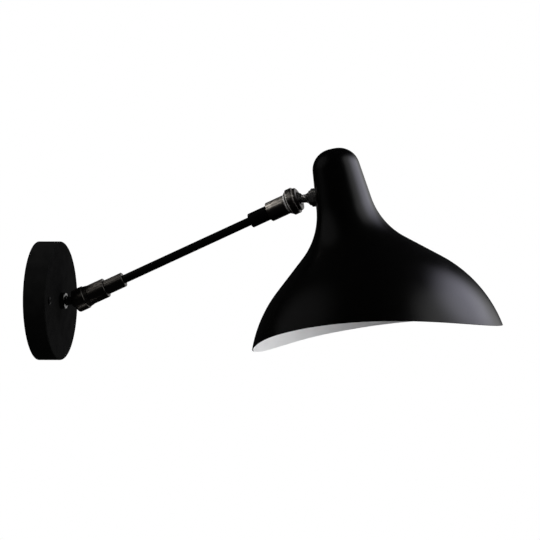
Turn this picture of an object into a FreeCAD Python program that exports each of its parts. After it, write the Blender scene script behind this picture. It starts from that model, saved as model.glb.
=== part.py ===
import FreeCAD, Part
import math
import os
import re

import Sketcher
from FreeCAD import Placement, Rotation, Vector

# Wall lamp with a ball joint at each end of its arm and a spun bell shade.
# Millimetres and degrees. The origin is the middle of the canopy's back, on the wall:
# +X comes out of the wall, +Z is up, and the lamp is the same on both sides of Y = 0.

# The driving dimensions: name, value and what it measures.
SIZES = [
    ("canopy_r", 60.0, "canopy, outside radius"),
    ("canopy_depth", 23.3, "canopy, depth from the wall to its face"),
    ("canopy_wall", 1.2, "canopy, sheet thickness"),
    ("canopy_bend", 0.4, "canopy, inside radius of the front edge"),
    ("canopy_screw_reach", 90.0, "distance between the two canopy screws"),
    ("screw_r", 2.0, "M4 screw, thread radius"),
    ("screw_head_r", 4.0, "M4 screw, head radius"),
    ("screw_head_h", 2.4, "M4 screw, height of the domed head"),
    ("screw_edge_h", 0.8, "M4 screw, height of the head's straight edge"),
    ("screw_len", 8.0, "M4 canopy screw, length under the head"),
    ("recess_reach", 2.0, "M4 screw, half length of a recess arm"),
    ("recess_half", 0.4, "M4 screw, half width of a recess arm"),
    ("recess_depth", 1.5, "M4 screw, depth of the recess"),
    ("strip_wall", 1.5, "wall bracket, sheet thickness"),
    ("strip_width", 18.0, "wall bracket, width of the strip"),
    ("strip_leg", 37.0, "wall bracket, middle to the outside of a leg"),
    ("strip_ear", 16.0, "wall bracket, length of an ear beyond its leg"),
    ("strip_bend", 1.0, "wall bracket, inside radius of its bends"),
    ("slot_pitch", 52.0, "distance between the two wall screw slots"),
    ("slot_len", 14.0, "wall screw slot, overall length"),
    ("slot_r", 2.25, "wall screw slot, half its width"),
    ("cable_hole_r", 6.0, "wall bracket, hole for the house wiring"),
    ("tongue_half", 11.0, "wall bracket, half width of the tongue"),
    ("tongue_top", 34.0, "wall bracket, top of the tongue above the middle"),
    ("earth_screw_y", 13.0, "earth screw, distance from the middle"),
    ("block_width", 20.0, "terminal block, width"),
    ("block_height", 16.0, "terminal block, height"),
    ("block_depth", 12.0, "terminal block, depth"),
    ("block_margin", 2.0, "tongue left above the terminal block"),
    ("pole_pitch", 11.0, "terminal block, distance between its two poles"),
    ("pole_well_r", 2.2, "terminal block, radius of a screw well"),
    ("pole_well_depth", 8.0, "terminal block, depth of a screw well"),
    ("wire_hole_r", 1.7, "terminal block, radius of a wire entry"),
    ("wire_hole_x", 4.0, "terminal block, wire entry above its foot"),
    ("clamp_wall", 0.9, "terminal clamp, wall of the brass tube"),
    ("grub_r", 1.9, "terminal screw, thread radius"),
    ("grub_len", 3.5, "terminal screw, length"),
    ("small_screw_r", 1.5, "M3 screw, thread radius"),
    ("small_head_r", 2.4, "M3 screw, head radius"),
    ("small_head_h", 1.8, "M3 screw, height of the domed head"),
    ("small_edge_h", 0.6, "M3 screw, height of the head's straight edge"),
    ("small_recess_reach", 1.3, "M3 screw, half length of a recess arm"),
    ("small_recess_half", 0.3, "M3 screw, half width of a recess arm"),
    ("small_recess_depth", 1.1, "M3 screw, depth of the recess"),
    ("thread_gap", 0.05, "radial clearance of threads and pushed-in pieces"),
    ("hole_gap", 0.2, "radial clearance of a plain hole round a thread"),
    ("fit_gap", 0.05, "running clearance inside the ball joints"),
    ("ball_r", 7.0, "joint ball, radius"),
    ("waist_r", 4.2, "ball stud, radius of its waist"),
    ("wire_bore_r", 2.5, "ball stud, radius of the wiring bore"),
    ("stud_thread_r", 4.9, "ball stud and nipple, radius of the M10 thread"),
    ("tail_over", 1.2, "stud thread left over behind its nut"),
    ("wall_stud_reach", 17.0, "canopy face to the wall ball's centre"),
    ("collar_rim", 0.45, "wall ball stud, flat of the collar round its fillet"),
    ("collar_len", 5.0, "wall ball stud, collar length"),
    ("collar_edge", 0.6, "wall ball stud, chamfer of the collar"),
    ("collar_fillet", 3.0, "wall ball stud, fillet from waist to collar"),
    ("shade_stud_reach", 20.0, "shade ball's centre to the outside of the neck"),
    ("flange_r", 7.5, "shade ball stud, flange radius"),
    ("flange_len", 2.5, "shade ball stud, flange thickness"),
    ("flare_len", 5.5, "shade ball stud, length of the flare to the flange"),
    ("saddle_r", 9.3, "saddle washer outside the neck, radius"),
    ("saddle_len", 4.0, "saddle washer outside the neck, thickness"),
    ("inner_saddle_r", 7.6, "saddle washer inside the neck, radius"),
    ("washer_r", 8.2, "toothed lock washer, radius"),
    ("washer_wall", 0.8, "toothed lock washer, thickness"),
    ("tooth_depth", 1.3, "toothed lock washer, depth of a notch"),
    ("tooth_notch", 1.1, "toothed lock washer, width of a notch"),
    ("washer_teeth", 12, "toothed lock washer, number of teeth"),
    ("nut_flats", 15.0, "M10 nut, width across the flats"),
    ("nut_h", 3.5, "M10 nut, height"),
    ("nut_edge", 0.8, "M10 nut, chamfer of its corners"),
    ("liner_wall", 0.8, "ball liner, wall thickness"),
    ("liner_lip", 1.9, "ball liner, front edge ahead of the ball's centre"),
    ("liner_back", 5.5, "ball liner, back edge behind the ball's centre"),
    ("cap_lip", 2.5, "socket cap, lip ahead of the ball's centre"),
    ("cap_shoulder", 0.5, "socket cap, end of its seat behind the ball's centre"),
    ("cup_wall", 0.4, "pressure cup, edge outside its seat"),
    ("cup_front", 1.0, "pressure cup, front edge behind the ball's centre"),
    ("cup_len", 8.45, "pressure cup, length"),
    ("cup_hole_r", 4.0, "pressure cup, radius of the wiring hole"),
    ("spring_hole_r", 4.1, "disc spring, radius of its hole"),
    ("spring_wall", 0.9, "disc spring, thickness"),
    ("spring_rise", 0.35, "disc spring, height of its cone"),
    ("spring_room", 0.3, "disc spring, play inside the barrel"),
    ("spigot_wall", 1.05, "socket barrel, wall of its threaded front"),
    ("barrel_step", 0.6, "socket barrel, step from its thread to its outside"),
    ("barrel_bore_r", 5.0, "socket barrel, radius of the wiring passage"),
    ("turned_edge", 0.4, "chamfer of turned edges"),
    ("wall_cap_wall", 2.35, "wall socket cap, wall over the thread"),
    ("wall_cap_round", 2.3, "wall socket cap, rounding of its front"),
    ("wall_ring_len", 12.5, "wall socket cap, length of its ring"),
    ("wall_ring_step", 0.45, "wall socket cap, step behind its ring"),
    ("wall_taper_len", 4.3, "wall socket cap, length of its taper"),
    ("wall_taper_rim", 0.25, "wall socket cap, small end above the barrel"),
    ("wall_barrel_len", 18.7, "wall socket barrel, length that shows"),
    ("wall_sleeve_len", 20.4, "wall end sleeve, length that shows"),
    ("front_ring_wall", 2.5, "shade socket cap, front ring over the thread"),
    ("front_ring_round", 1.6, "shade socket cap, rounding of its front"),
    ("front_ring_len", 3.5, "shade socket cap, length of its front ring"),
    ("grip_ring_wall", 4.15, "shade socket cap, grip ring over the thread"),
    ("grip_ring_len", 7.0, "shade socket cap, length of its grip ring"),
    ("grip_ring_edge", 0.6, "shade socket cap, chamfer of its grip ring"),
    ("lock_ring_wall", 2.55, "lock ring, wall over the thread"),
    ("lock_ring_len", 1.8, "lock ring, thickness"),
    ("lock_washer_wall", 1.3, "washer under the lock ring, wall over the thread"),
    ("lock_washer_len", 1.8, "washer under the lock ring, thickness"),
    ("shade_barrel_len", 20.2, "shade socket barrel, length that shows"),
    ("shade_sleeve_len", 21.3, "shade end sleeve, length that shows"),
    ("sleeve_r", 7.5, "sleeve, outside radius"),
    ("sleeve_spigot_r", 6.0, "sleeve, radius of its end in the barrel"),
    ("sleeve_spigot_len", 8.0, "sleeve, length of its end in the barrel"),
    ("tube_r", 4.3, "arm tube, outside radius"),
    ("tube_wall", 0.9, "arm tube, wall thickness"),
    ("tube_grip", 15.8, "arm tube, length held in a sleeve"),
    ("arm_span", 252.0, "arm, from ball centre to ball centre"),
    ("arm_lift", 24.0, "arm, rise above level"),
    ("shade_tilt", 12.85, "shade, lean of its axis away from the wall"),
    ("shade_wall", 1.0, "shade, sheet thickness"),
    ("dome_flat_r", 3.0, "shade, radius of the flat on top of its dome"),
    ("stud_station", 43.9, "shade, stud hole below the top"),
    ("neck_taper", 6.65, "shade, half angle of the conical neck"),
    ("neck_end", 56.3, "shade, end of the conical neck below the top"),
    ("flare_bend_r", 71.0, "shade, hollow bend from neck to flare"),
    ("flare_slope", 49.7, "shade, steepest angle of the flare to the axis"),
    ("flare_run", 41.7, "shade, straight run of the flare"),
    ("bell_r", 133.2, "shade, round bend from flare to rim"),
    ("bell_slope_end", 4.0, "shade, angle to the axis at the blank's edge"),
    ("rim_crown", 175.2, "shade, crown of the arched rim below the top"),
    ("rim_arch_r", 573.0, "shade, radius of the rim's arch on the side away from the wall"),
    ("rim_wall_arch_r", 190.5, "shade, radius of the rim's arch on the wall side"),
    ("rim_lean", 72.0, "shade, crown of the rim's arch off the axis, to the wall"),
    ("rim_cut_over", 10.0, "shade, reach of the rim cut past the blank"),
    ("holder_r", 14.0, "lampholder, outside radius"),
    ("holder_gap", 2.95, "stud's end to the lampholder"),
    ("strap_wall", 1.5, "lampholder strap, sheet thickness"),
    ("strap_half", 8.0, "lampholder strap, half its width"),
    ("strap_bend", 1.0, "lampholder strap, inside radius of its bend"),
    ("strap_rise", 18.0, "lampholder strap, stud up to the flange's underside"),
    ("strap_drop", 11.0, "lampholder strap, stud down to the strap's end"),
    ("strap_flange", 9.0, "lampholder strap, flange beyond the axis"),
    ("nipple_bore_r", 3.5, "nipple, radius of its bore"),
    ("nipple_drop", 9.0, "nipple, length below the strap"),
    ("holder_cap_len", 18.0, "lampholder cap, length"),
    ("holder_cap_top_r", 8.0, "lampholder cap, radius of its flat top"),
    ("holder_cap_slope", 8.0, "lampholder cap, height of its shoulder"),
    ("holder_wall", 1.5, "lampholder cap, wall thickness"),
    ("holder_plug_len", 6.0, "lampholder body, length inside its cap"),
    ("holder_len", 32.0, "lampholder body, length that shows"),
    ("holder_floor", 4.0, "lampholder body, floor below the cap's edge"),
    ("holder_mouth_r", 11.0, "lampholder body, radius of its mouth"),
    ("shell_r", 7.1, "screw shell, inside radius"),
    ("shell_wall", 0.4, "screw shell, sheet thickness"),
    ("shell_len", 22.0, "screw shell, length"),
    ("shell_gap", 0.15, "radial clearance of the bulb in the screw shell"),
    ("contact_r", 2.0, "centre contact, stem radius"),
    ("contact_head_r", 4.0, "centre contact, head radius"),
    ("contact_head_h", 1.2, "centre contact, head height"),
    ("bulb_len", 78.0, "bulb, overall length"),
    ("bulb_r", 22.5, "bulb, globe radius"),
    ("bulb_neck_r", 8.0, "bulb, neck radius"),
    ("bulb_flare", 30.0, "bulb, angle from neck to globe"),
    ("bulb_wall", 0.7, "bulb, glass thickness"),
    ("bulb_tip_r", 2.4, "bulb, radius of the tip contact"),
    ("bulb_tip_h", 1.5, "bulb, height of the tip contact"),
    ("bulb_insulator_r", 5.2, "bulb, radius of the insulator round the tip"),
    ("bulb_insulator_h", 2.5, "bulb, height of the insulator"),
    ("bulb_skirt_h", 3.0, "bulb, height of the cap's flared skirt"),
]

document = FreeCAD.newDocument("WallLamp")
sizes = document.addObject("Spreadsheet::Sheet", "Sizes")
places = document.addObject("Spreadsheet::Sheet", "Places")
sheet_of = {}
for row, (size_name, number, note) in enumerate(SIZES, start=1):
    sizes.set(f"A{row}", note)
    sizes.set(f"B{row}", str(number))
    sizes.setAlias(f"B{row}", size_name)
    sheet_of[size_name] = sizes
sizes.recompute()


def spelled(formula, home=None):
    """Puts the sheet's name before each size and place of a formula, except those of the home sheet."""
    def full_name(found):
        name = found.group()
        sheet = sheet_of.get(name, home)
        return name if sheet is home else f"{sheet.Name}.{name}"
    return re.sub(r"[a-z][a-z_0-9]*", full_name, formula)


def place(**formulas):
    """Adds worked-out places and sizes to the second sheet, each under its own name."""
    for name, formula in formulas.items():
        row = 1 + sum(sheet is places for sheet in sheet_of.values())
        places.set(f"A{row}", name)
        places.set(f"B{row}", "=" + spelled(formula, places))
        places.setAlias(f"B{row}", name)
        sheet_of[name] = places
    places.recompute()


def value(name):
    """The number that a name, or a name with a minus sign, stands for. "0" is a point on an axis."""
    if name == "0":
        return 0.0
    bare = name.lstrip("-")
    number = float(sheet_of[bare].get(bare))
    return -number if name.startswith("-") else number


def bind(thing, prop, formula):
    """Ties one property of an object to the sheets."""
    thing.setExpression(prop, spelled(formula))


# The places that several pieces share: radii and stations of the two ball joints.
place(
    liner_in_r="ball_r + fit_gap",
    liner_out_r="liner_in_r + liner_wall",
    seat_r="liner_out_r + fit_gap",
    cup_r="seat_r + cup_wall",
    socket_bore_r="cup_r + fit_gap",
    spigot_r="socket_bore_r + spigot_wall",
    cap_bore_r="spigot_r + thread_gap",
    barrel_r="spigot_r + barrel_step",
    cup_back="cup_front + cup_len",
    spring_front="cup_back + fit_gap",
    spring_seat="spring_front + spring_wall + spring_rise",
    stud_hole_r="stud_thread_r + hole_gap",
    tapped_r="screw_r + thread_gap",
    small_tapped_r="small_screw_r + thread_gap",
    neck_start="sqrt(ball_r^2 - waist_r^2)",
    ball_flat="sqrt(ball_r^2 - wire_bore_r^2)",
)

# Stations along the arm at its wall end and at its shade end, each counted from that end's ball centre.
place(
    wall_ring_end="wall_ring_len - cap_lip",
    wall_cap_end="wall_ring_end + wall_taper_len",
    wall_barrel_end="wall_cap_end + wall_barrel_len",
    wall_sleeve_end="wall_barrel_end + wall_sleeve_len",
    wall_tube_end="wall_sleeve_end - tube_grip",
    front_ring_end="front_ring_len - cap_lip",
    shade_cap_end="front_ring_end + grip_ring_len",
    lock_ring_end="shade_cap_end + lock_ring_len",
    lock_washer_end="lock_ring_end + lock_washer_len",
    shade_barrel_end="lock_washer_end + shade_barrel_len",
    shade_sleeve_end="shade_barrel_end + shade_sleeve_len",
    shade_tube_end="shade_sleeve_end - tube_grip",
)

# The two ball centres, the stud's foot on the neck and the top of the shade.
# The stud stands square on the neck's wall, so it leans by the shade's tilt less the neck's taper.
place(
    strap_offset="shade_wall + strap_half^2 / (2 * (holder_r + holder_gap)) + thread_gap",
    shade_nut_seat="shade_stud_reach + strap_offset + strap_wall + washer_wall",
    shade_tail="shade_nut_seat + nut_h + tail_over",
    neck_r="shade_tail - shade_stud_reach + holder_gap + holder_r",
    stud_lean="shade_tilt - neck_taper",
    wall_ball_x="canopy_depth + wall_stud_reach",
    shade_ball_x="wall_ball_x + arm_span * cos(arm_lift)",
    shade_ball_z="arm_span * sin(arm_lift)",
    stud_foot_x="shade_ball_x + shade_stud_reach * cos(stud_lean)",
    stud_foot_z="shade_ball_z + shade_stud_reach * sin(stud_lean)",
    top_x="stud_foot_x - stud_station * sin(shade_tilt) + neck_r * cos(shade_tilt)",
    top_z="stud_foot_z + stud_station * cos(shade_tilt) + neck_r * sin(shade_tilt)",
    wall_ball_turn="180",
    arm_turn="0 - arm_lift",
    arm_back_turn="180 - arm_lift",
    shade_ball_turn="0 - stud_lean",
    shade_turn="90 - shade_tilt",
    shade_cone_turn="180 - shade_tilt",
)

# Each frame is x, y, z and a turn about Y, and its own X runs along the pieces that are placed in it.
FRAMES = {
    "wall": ("0", "0", "0", "0"),
    "wall_ball": ("wall_ball_x", "0", "0", "wall_ball_turn"),
    "arm": ("wall_ball_x", "0", "0", "arm_turn"),
    "arm_end": ("shade_ball_x", "0", "shade_ball_z", "arm_back_turn"),
    "shade_ball": ("shade_ball_x", "0", "shade_ball_z", "shade_ball_turn"),
    "shade": ("top_x", "0", "top_z", "shade_turn"),
    "shade_cone": ("top_x", "0", "top_z", "shade_cone_turn"),
}
LEFT, RIGHT = 1, -1
START, END, CENTRE = range(1, 4)
X_AXIS_LINE, Y_AXIS_LINE = range(-1, -3, -1)
ORIGIN = (X_AXIS_LINE, START)

pieces = []


def kept(piece):
    """Marks an object as one of the lamp's pieces, to be written out under its label."""
    pieces.append(piece)
    return piece


def seat(piece, frame):
    """Places a piece in a frame, tied to the sheets."""
    piece.Placement = Placement(Vector(), Rotation(Vector(0, 1, 0), 1))
    for prop, name in zip(("Base.x", "Base.y", "Base.z", "Rotation.Angle"), FRAMES[frame]):
        bind(piece, f".Placement.{prop}", name)


def new_body(label, frame):
    body = document.addObject("PartDesign::Body", label)
    body.Label = label
    seat(body, frame)
    return body


def new_sketch(body, plane, offset=None):
    """A sketch on one of the body's own planes, or at a named distance in front of it."""
    sketch = body.newObject("Sketcher::SketchObject", body.Label + "_sketch")
    support = next(part for part in body.Origin.OriginFeatures if part.Role == plane)
    sketch.AttachmentSupport = [(support, "")]
    sketch.MapMode = "FlatFace"
    if offset:
        bind(sketch, ".AttachmentOffset.Base.z", offset)
    return sketch


def hold_point(sketch, geometry, point, across, up):
    """Holds a point of a sketch at two named distances from its origin."""
    for kind, name, axis in (("DistanceX", across, Y_AXIS_LINE), ("DistanceY", up, X_AXIS_LINE)):
        if name == "0":
            sketch.addConstraint(Sketcher.Constraint("PointOnObject", geometry, point, axis))
        else:
            held = Sketcher.Constraint(kind, *ORIGIN, geometry, point, value(name))
            bind(sketch, f"Constraints[{sketch.addConstraint(held)}]", name)


def hold_radius(sketch, geometry, name):
    held = Sketcher.Constraint("Radius", geometry, value(name))
    bind(sketch, f"Constraints[{sketch.addConstraint(held)}]", name)


def arc_between(start, stop, side, radius):
    """The arc under half a turn from start to stop that turns to the given side."""
    chord = stop - start
    rise = math.sqrt(max(radius ** 2 - chord.Length ** 2 / 4, 0.0))
    across = Vector(-chord.y, chord.x, 0).normalize()
    circle = Part.Circle((start + stop) / 2 + across * (side * rise), Vector(0, 0, 1), radius)
    first, last = (start, stop) if side == LEFT else (stop, start)
    return Part.ArcOfCircle(circle, circle.parameter(first), circle.parameter(last))


def draw(sketch, corners):
    """Draws a closed outline through named corners.

    A corner is (across, up), or (across, up, side, radius) where an arc leads to it.
    """
    points = [Vector(value(corner[0]), value(corner[1]), 0) for corner in corners]
    first = sketch.GeometryCount
    ends = []
    arcs = []
    for index, start in enumerate(points):
        following = (index + 1) % len(corners)
        if len(corners[following]) == 2:
            sketch.addGeometry(Part.LineSegment(start, points[following]), False)
            ends.append((START, END))
            continue
        side, radius = corners[following][2:]
        sketch.addGeometry(arc_between(start, points[following], side, value(radius)), False)
        ends.append((START, END) if side == LEFT else (END, START))
        arcs.append((first + index, radius))
    for index, (start, stop) in enumerate(ends):
        following = (index + 1) % len(corners)
        joined = (first + index, stop, first + following, ends[following][0])
        sketch.addConstraint(Sketcher.Constraint("Coincident", *joined))
    for index, (start, stop) in enumerate(ends):
        hold_point(sketch, first + index, start, *corners[index][:2])
    for geometry, radius in arcs:
        hold_radius(sketch, geometry, radius)


def draw_circles(sketch, circles):
    """Draws circles, each given by its named centre and radius."""
    for across, up, radius in circles:
        middle = Vector(value(across), value(up), 0)
        circle = Part.Circle(middle, Vector(0, 0, 1), value(radius))
        geometry = sketch.addGeometry(circle, False)
        hold_point(sketch, geometry, CENTRE, across, up)
        hold_radius(sketch, geometry, radius)


def draw_slot(sketch, near, far, radius):
    """Draws a round-ended slot along the sketch's first axis, between two named end centres."""
    quarter = math.pi / 2
    near_circle = Part.Circle(Vector(value(near), 0, 0), Vector(0, 0, 1), value(radius))
    far_circle = Part.Circle(Vector(value(far), 0, 0), Vector(0, 0, 1), value(radius))
    near_end = Part.ArcOfCircle(near_circle, quarter, 3 * quarter)
    far_end = Part.ArcOfCircle(far_circle, -quarter, quarter)
    lower = Part.LineSegment(near_end.EndPoint, far_end.StartPoint)
    upper = Part.LineSegment(far_end.EndPoint, near_end.StartPoint)
    loop = sketch.addGeometry([near_end, lower, far_end, upper], False)
    for index, geometry in enumerate(loop):
        following = loop[(index + 1) % len(loop)]
        sketch.addConstraint(Sketcher.Constraint("Tangent", geometry, END, following, START))
    sketch.addConstraint(Sketcher.Constraint("Equal", loop[0], loop[2]))
    hold_point(sketch, loop[0], CENTRE, near, "0")
    hold_point(sketch, loop[2], CENTRE, far, "0")
    hold_radius(sketch, loop[0], radius)


def turned(label, frame, corners):
    """A piece turned on the lathe: an outline of stations and radii, spun about the frame's X."""
    body = new_body(label, frame)
    sketch = new_sketch(body, "XY_Plane")
    draw(sketch, corners)
    spin = body.newObject("PartDesign::Revolution", label + "_spin")
    spin.Profile = sketch
    spin.ReferenceAxis = (sketch, ["H_Axis"])
    spin.Angle = 360
    return body


def padded(body, sketch, length, both_ways=False):
    pad = body.newObject("PartDesign::Pad", body.Label + "_pad")
    pad.Profile = sketch
    bind(pad, "Length", length)
    pad.Midplane = both_ways
    return pad


def cut_through(body, sketch):
    """Cuts a sketch right through the body, both ways."""
    pocket = body.newObject("PartDesign::Pocket", body.Label + "_cut")
    pocket.Profile = sketch
    pocket.Type = "ThroughAll"
    pocket.Midplane = True
    return pocket


def cut_deep(body, sketch, depth):
    """Cuts a sketch to a depth behind its own plane."""
    pocket = body.newObject("PartDesign::Pocket", body.Label + "_cut")
    pocket.Profile = sketch
    bind(pocket, "Length", depth)
    return pocket


def repeated_round(body, cut, sketch, count):
    """Repeats a cut round the axis that its sketch faces."""
    ring = body.newObject("PartDesign::PolarPattern", body.Label + "_ring")
    ring.Originals = [cut]
    ring.Axis = (sketch, ["N_Axis"])
    ring.Angle = 360
    bind(ring, "Occurrences", count)
    body.Tip = ring


def combined(kind, label, base, tool):
    """A piece left by a boolean of two other solids."""
    piece = document.addObject(kind, label)
    piece.Label = label
    piece.Base = base
    piece.Tool = tool
    return piece


def grouped(label, solids):
    """Identical fasteners, kept as separate solids of one piece."""
    group = document.addObject("Part::Compound", label)
    group.Label = label
    group.Links = solids
    return group


# Wall bracket: a steel strip folded into a hat. Its back lies on the wall, its ears carry the canopy's
# screws just behind the canopy's face, and a tongue carries the terminal block.
place(
    ear_front="canopy_depth - canopy_wall",
    ear_back="ear_front - strip_wall",
    ear_end="strip_leg + strip_ear",
    leg_inside="strip_leg - strip_wall",
    strip_bend_out="strip_bend + strip_wall",
    foot_bend_x="strip_wall + strip_bend",
    foot_bend_y="leg_inside - strip_bend",
    ear_bend_x="ear_back - strip_bend",
    ear_bend_y="strip_leg + strip_bend",
    canopy_screw_y="canopy_screw_reach / 2",
    slot_straight="slot_len / 2 - slot_r",
    slot_far="slot_pitch / 2 + slot_straight",
    slot_near="slot_pitch / 2 - slot_straight",
    block_mid_z="tongue_top - block_margin - block_height / 2",
)
bracket = kept(new_body("wall_bracket", "wall"))
hat = new_sketch(bracket, "XY_Plane")
draw(hat, [
    ("0", "-foot_bend_y", RIGHT, "strip_bend_out"),
    ("0", "foot_bend_y"),
    ("foot_bend_x", "strip_leg", RIGHT, "strip_bend_out"),
    ("ear_bend_x", "strip_leg"),
    ("ear_back", "ear_bend_y", LEFT, "strip_bend"),
    ("ear_back", "ear_end"),
    ("ear_front", "ear_end"),
    ("ear_front", "ear_bend_y"),
    ("ear_bend_x", "leg_inside", RIGHT, "strip_bend_out"),
    ("foot_bend_x", "leg_inside"),
    ("strip_wall", "foot_bend_y", LEFT, "strip_bend"),
    ("strip_wall", "-foot_bend_y"),
    ("foot_bend_x", "-leg_inside", LEFT, "strip_bend"),
    ("ear_bend_x", "-leg_inside"),
    ("ear_front", "-ear_bend_y", RIGHT, "strip_bend_out"),
    ("ear_front", "-ear_end"),
    ("ear_back", "-ear_end"),
    ("ear_back", "-ear_bend_y"),
    ("ear_bend_x", "-strip_leg", LEFT, "strip_bend"),
    ("foot_bend_x", "-strip_leg"),
])
padded(bracket, hat, "strip_width", both_ways=True)
tongue = new_sketch(bracket, "YZ_Plane")
draw(tongue, [
    ("-tongue_half", "0"),
    ("tongue_half", "0"),
    ("tongue_half", "tongue_top"),
    ("-tongue_half", "tongue_top"),
])
padded(bracket, tongue, "strip_wall")
bracket_holes = new_sketch(bracket, "YZ_Plane")
draw_circles(bracket_holes, [
    ("0", "0", "cable_hole_r"),
    ("canopy_screw_y", "0", "tapped_r"),
    ("-canopy_screw_y", "0", "tapped_r"),
    ("-earth_screw_y", "0", "tapped_r"),
    ("0", "block_mid_z", "small_tapped_r"),
])
draw_slot(bracket_holes, "slot_near", "slot_far", "slot_r")
draw_slot(bracket_holes, "-slot_far", "-slot_near", "slot_r")
cut_through(bracket, bracket_holes)

# Terminal block on the tongue: a moulded body with a brass clamp tube and a clamp screw in each pole.
place(
    block_front="strip_wall + block_depth",
    block_half="block_width / 2",
    block_low="block_mid_z - block_height / 2",
    block_high="block_mid_z + block_height / 2",
    pole_y="pole_pitch / 2",
    clamp_x="strip_wall + wire_hole_x",
    clamp_r="wire_hole_r + clamp_wall",
    clamp_seat_r="clamp_r + thread_gap",
    clamp_mid="block_height / 2",
    grub_seat_r="grub_r + thread_gap",
    grub_foot_x="clamp_x + wire_hole_r",
    upright_turn="0 - 90",
)
block = kept(new_body("terminal_block", "wall"))
block_outline = new_sketch(block, "YZ_Plane", "strip_wall")
draw(block_outline, [
    ("-block_half", "block_low"),
    ("block_half", "block_low"),
    ("block_half", "block_high"),
    ("-block_half", "block_high"),
])
padded(block, block_outline, "block_depth")
wells = new_sketch(block, "YZ_Plane", "block_front")
draw_circles(wells, [
    ("pole_y", "block_mid_z", "pole_well_r"),
    ("-pole_y", "block_mid_z", "pole_well_r"),
])
cut_deep(block, wells, "pole_well_depth")
clamp_seats = new_sketch(block, "XY_Plane")
draw_circles(clamp_seats, [
    ("clamp_x", "pole_y", "clamp_seat_r"),
    ("clamp_x", "-pole_y", "clamp_seat_r"),
])
cut_through(block, clamp_seats)
block_hole = new_sketch(block, "YZ_Plane")
draw_circles(block_hole, [("0", "block_mid_z", "small_tapped_r")])
cut_through(block, block_hole)

clamps = []
grubs = []
for side, pole in (("left", "pole_y"), ("right", "-pole_y")):
    FRAMES["clamp_" + side] = ("clamp_x", pole, "block_low", "upright_turn")
    FRAMES["grub_" + side] = ("grub_foot_x", pole, "block_mid_z", "0")
    clamp = turned("clamp_" + side, "clamp_" + side, [
        ("0", "wire_hole_r"),
        ("0", "clamp_r"),
        ("block_height", "clamp_r"),
        ("block_height", "wire_hole_r"),
    ])
    thread_hole = new_sketch(clamp, "XY_Plane")
    draw_circles(thread_hole, [("clamp_mid", "0", "grub_seat_r")])
    cut_deep(clamp, thread_hole, "block_depth")
    clamps.append(clamp)
    grubs.append(turned("grub_" + side, "grub_" + side, [
        ("0", "0"),
        ("0", "grub_r"),
        ("grub_len", "grub_r"),
        ("grub_len", "0"),
    ]))
kept(grouped("terminal_clamps", clamps))
kept(grouped("terminal_screws", grubs))


# Pan-head screws with a cross recess: two M4 for the canopy, one M4 for the earth wire and one M3 for the
# terminal block. A screw's frame lies under its head, with X out of the wall.
def pan_screw(label, frame, thread, length):
    prefix = "" if thread == "screw_r" else "small_"
    head = ("small_head_" if prefix else "screw_head_")
    edge_h = "small_edge_h" if prefix else "screw_edge_h"
    reach = prefix + "recess_reach"
    half = prefix + "recess_half"
    dome = label + "_dome_r"
    rise = f"({head}h - {edge_h})"
    place(**{dome: f"({head}r^2 + {rise}^2) / (2 * {rise})"})
    screw = turned(label, frame, [
        ("-" + length, "0"),
        ("-" + length, thread),
        ("0", thread),
        ("0", head + "r"),
        (edge_h, head + "r"),
        (head + "h", "0", RIGHT, dome),
    ])
    recess = new_sketch(screw, "YZ_Plane", head + "h")
    draw(recess, [
        (half, half),
        (reach, half),
        (reach, "-" + half),
        (half, "-" + half),
        (half, "-" + reach),
        ("-" + half, "-" + reach),
        ("-" + half, "-" + half),
        ("-" + reach, "-" + half),
        ("-" + reach, half),
        ("-" + half, half),
        ("-" + half, reach),
        (half, reach),
    ])
    cut_deep(screw, recess, prefix + "recess_depth")
    return screw


FRAMES["screw_left"] = ("canopy_depth", "canopy_screw_y", "0", "0")
FRAMES["screw_right"] = ("canopy_depth", "-canopy_screw_y", "0", "0")
FRAMES["earth_screw"] = ("strip_wall", "-earth_screw_y", "0", "0")
FRAMES["block_screw"] = ("block_front", "0", "block_mid_z", "0")
place(block_screw_len="block_depth + strip_wall")
kept(grouped("canopy_screws", [
    pan_screw("canopy_screw_left", "screw_left", "screw_r", "screw_len"),
    pan_screw("canopy_screw_right", "screw_right", "screw_r", "screw_len"),
]))
kept(pan_screw("earth_screw", "earth_screw", "screw_r", "strip_wall"))
kept(pan_screw("terminal_fixing_screw", "block_screw", "small_screw_r", "block_screw_len"))

# Canopy: a pressed steel cup that stands on the wall over the bracket and carries the wall ball stud.
place(
    canopy_in_r="canopy_r - canopy_wall",
    canopy_edge="canopy_bend + canopy_wall",
    canopy_flat_r="canopy_r - canopy_edge",
    canopy_bend_x="canopy_depth - canopy_edge",
    screw_hole_r="screw_r + hole_gap",
)
canopy = kept(turned("canopy", "wall", [
    ("0", "canopy_in_r"),
    ("0", "canopy_r"),
    ("canopy_bend_x", "canopy_r"),
    ("canopy_depth", "canopy_flat_r", RIGHT, "canopy_edge"),
    ("canopy_depth", "stud_hole_r"),
    ("ear_front", "stud_hole_r"),
    ("ear_front", "canopy_flat_r"),
    ("canopy_bend_x", "canopy_in_r", LEFT, "canopy_bend"),
]))
canopy_holes = new_sketch(canopy, "YZ_Plane")
draw_circles(canopy_holes, [
    ("canopy_screw_y", "0", "screw_hole_r"),
    ("-canopy_screw_y", "0", "screw_hole_r"),
])
cut_through(canopy, canopy_holes)

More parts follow.
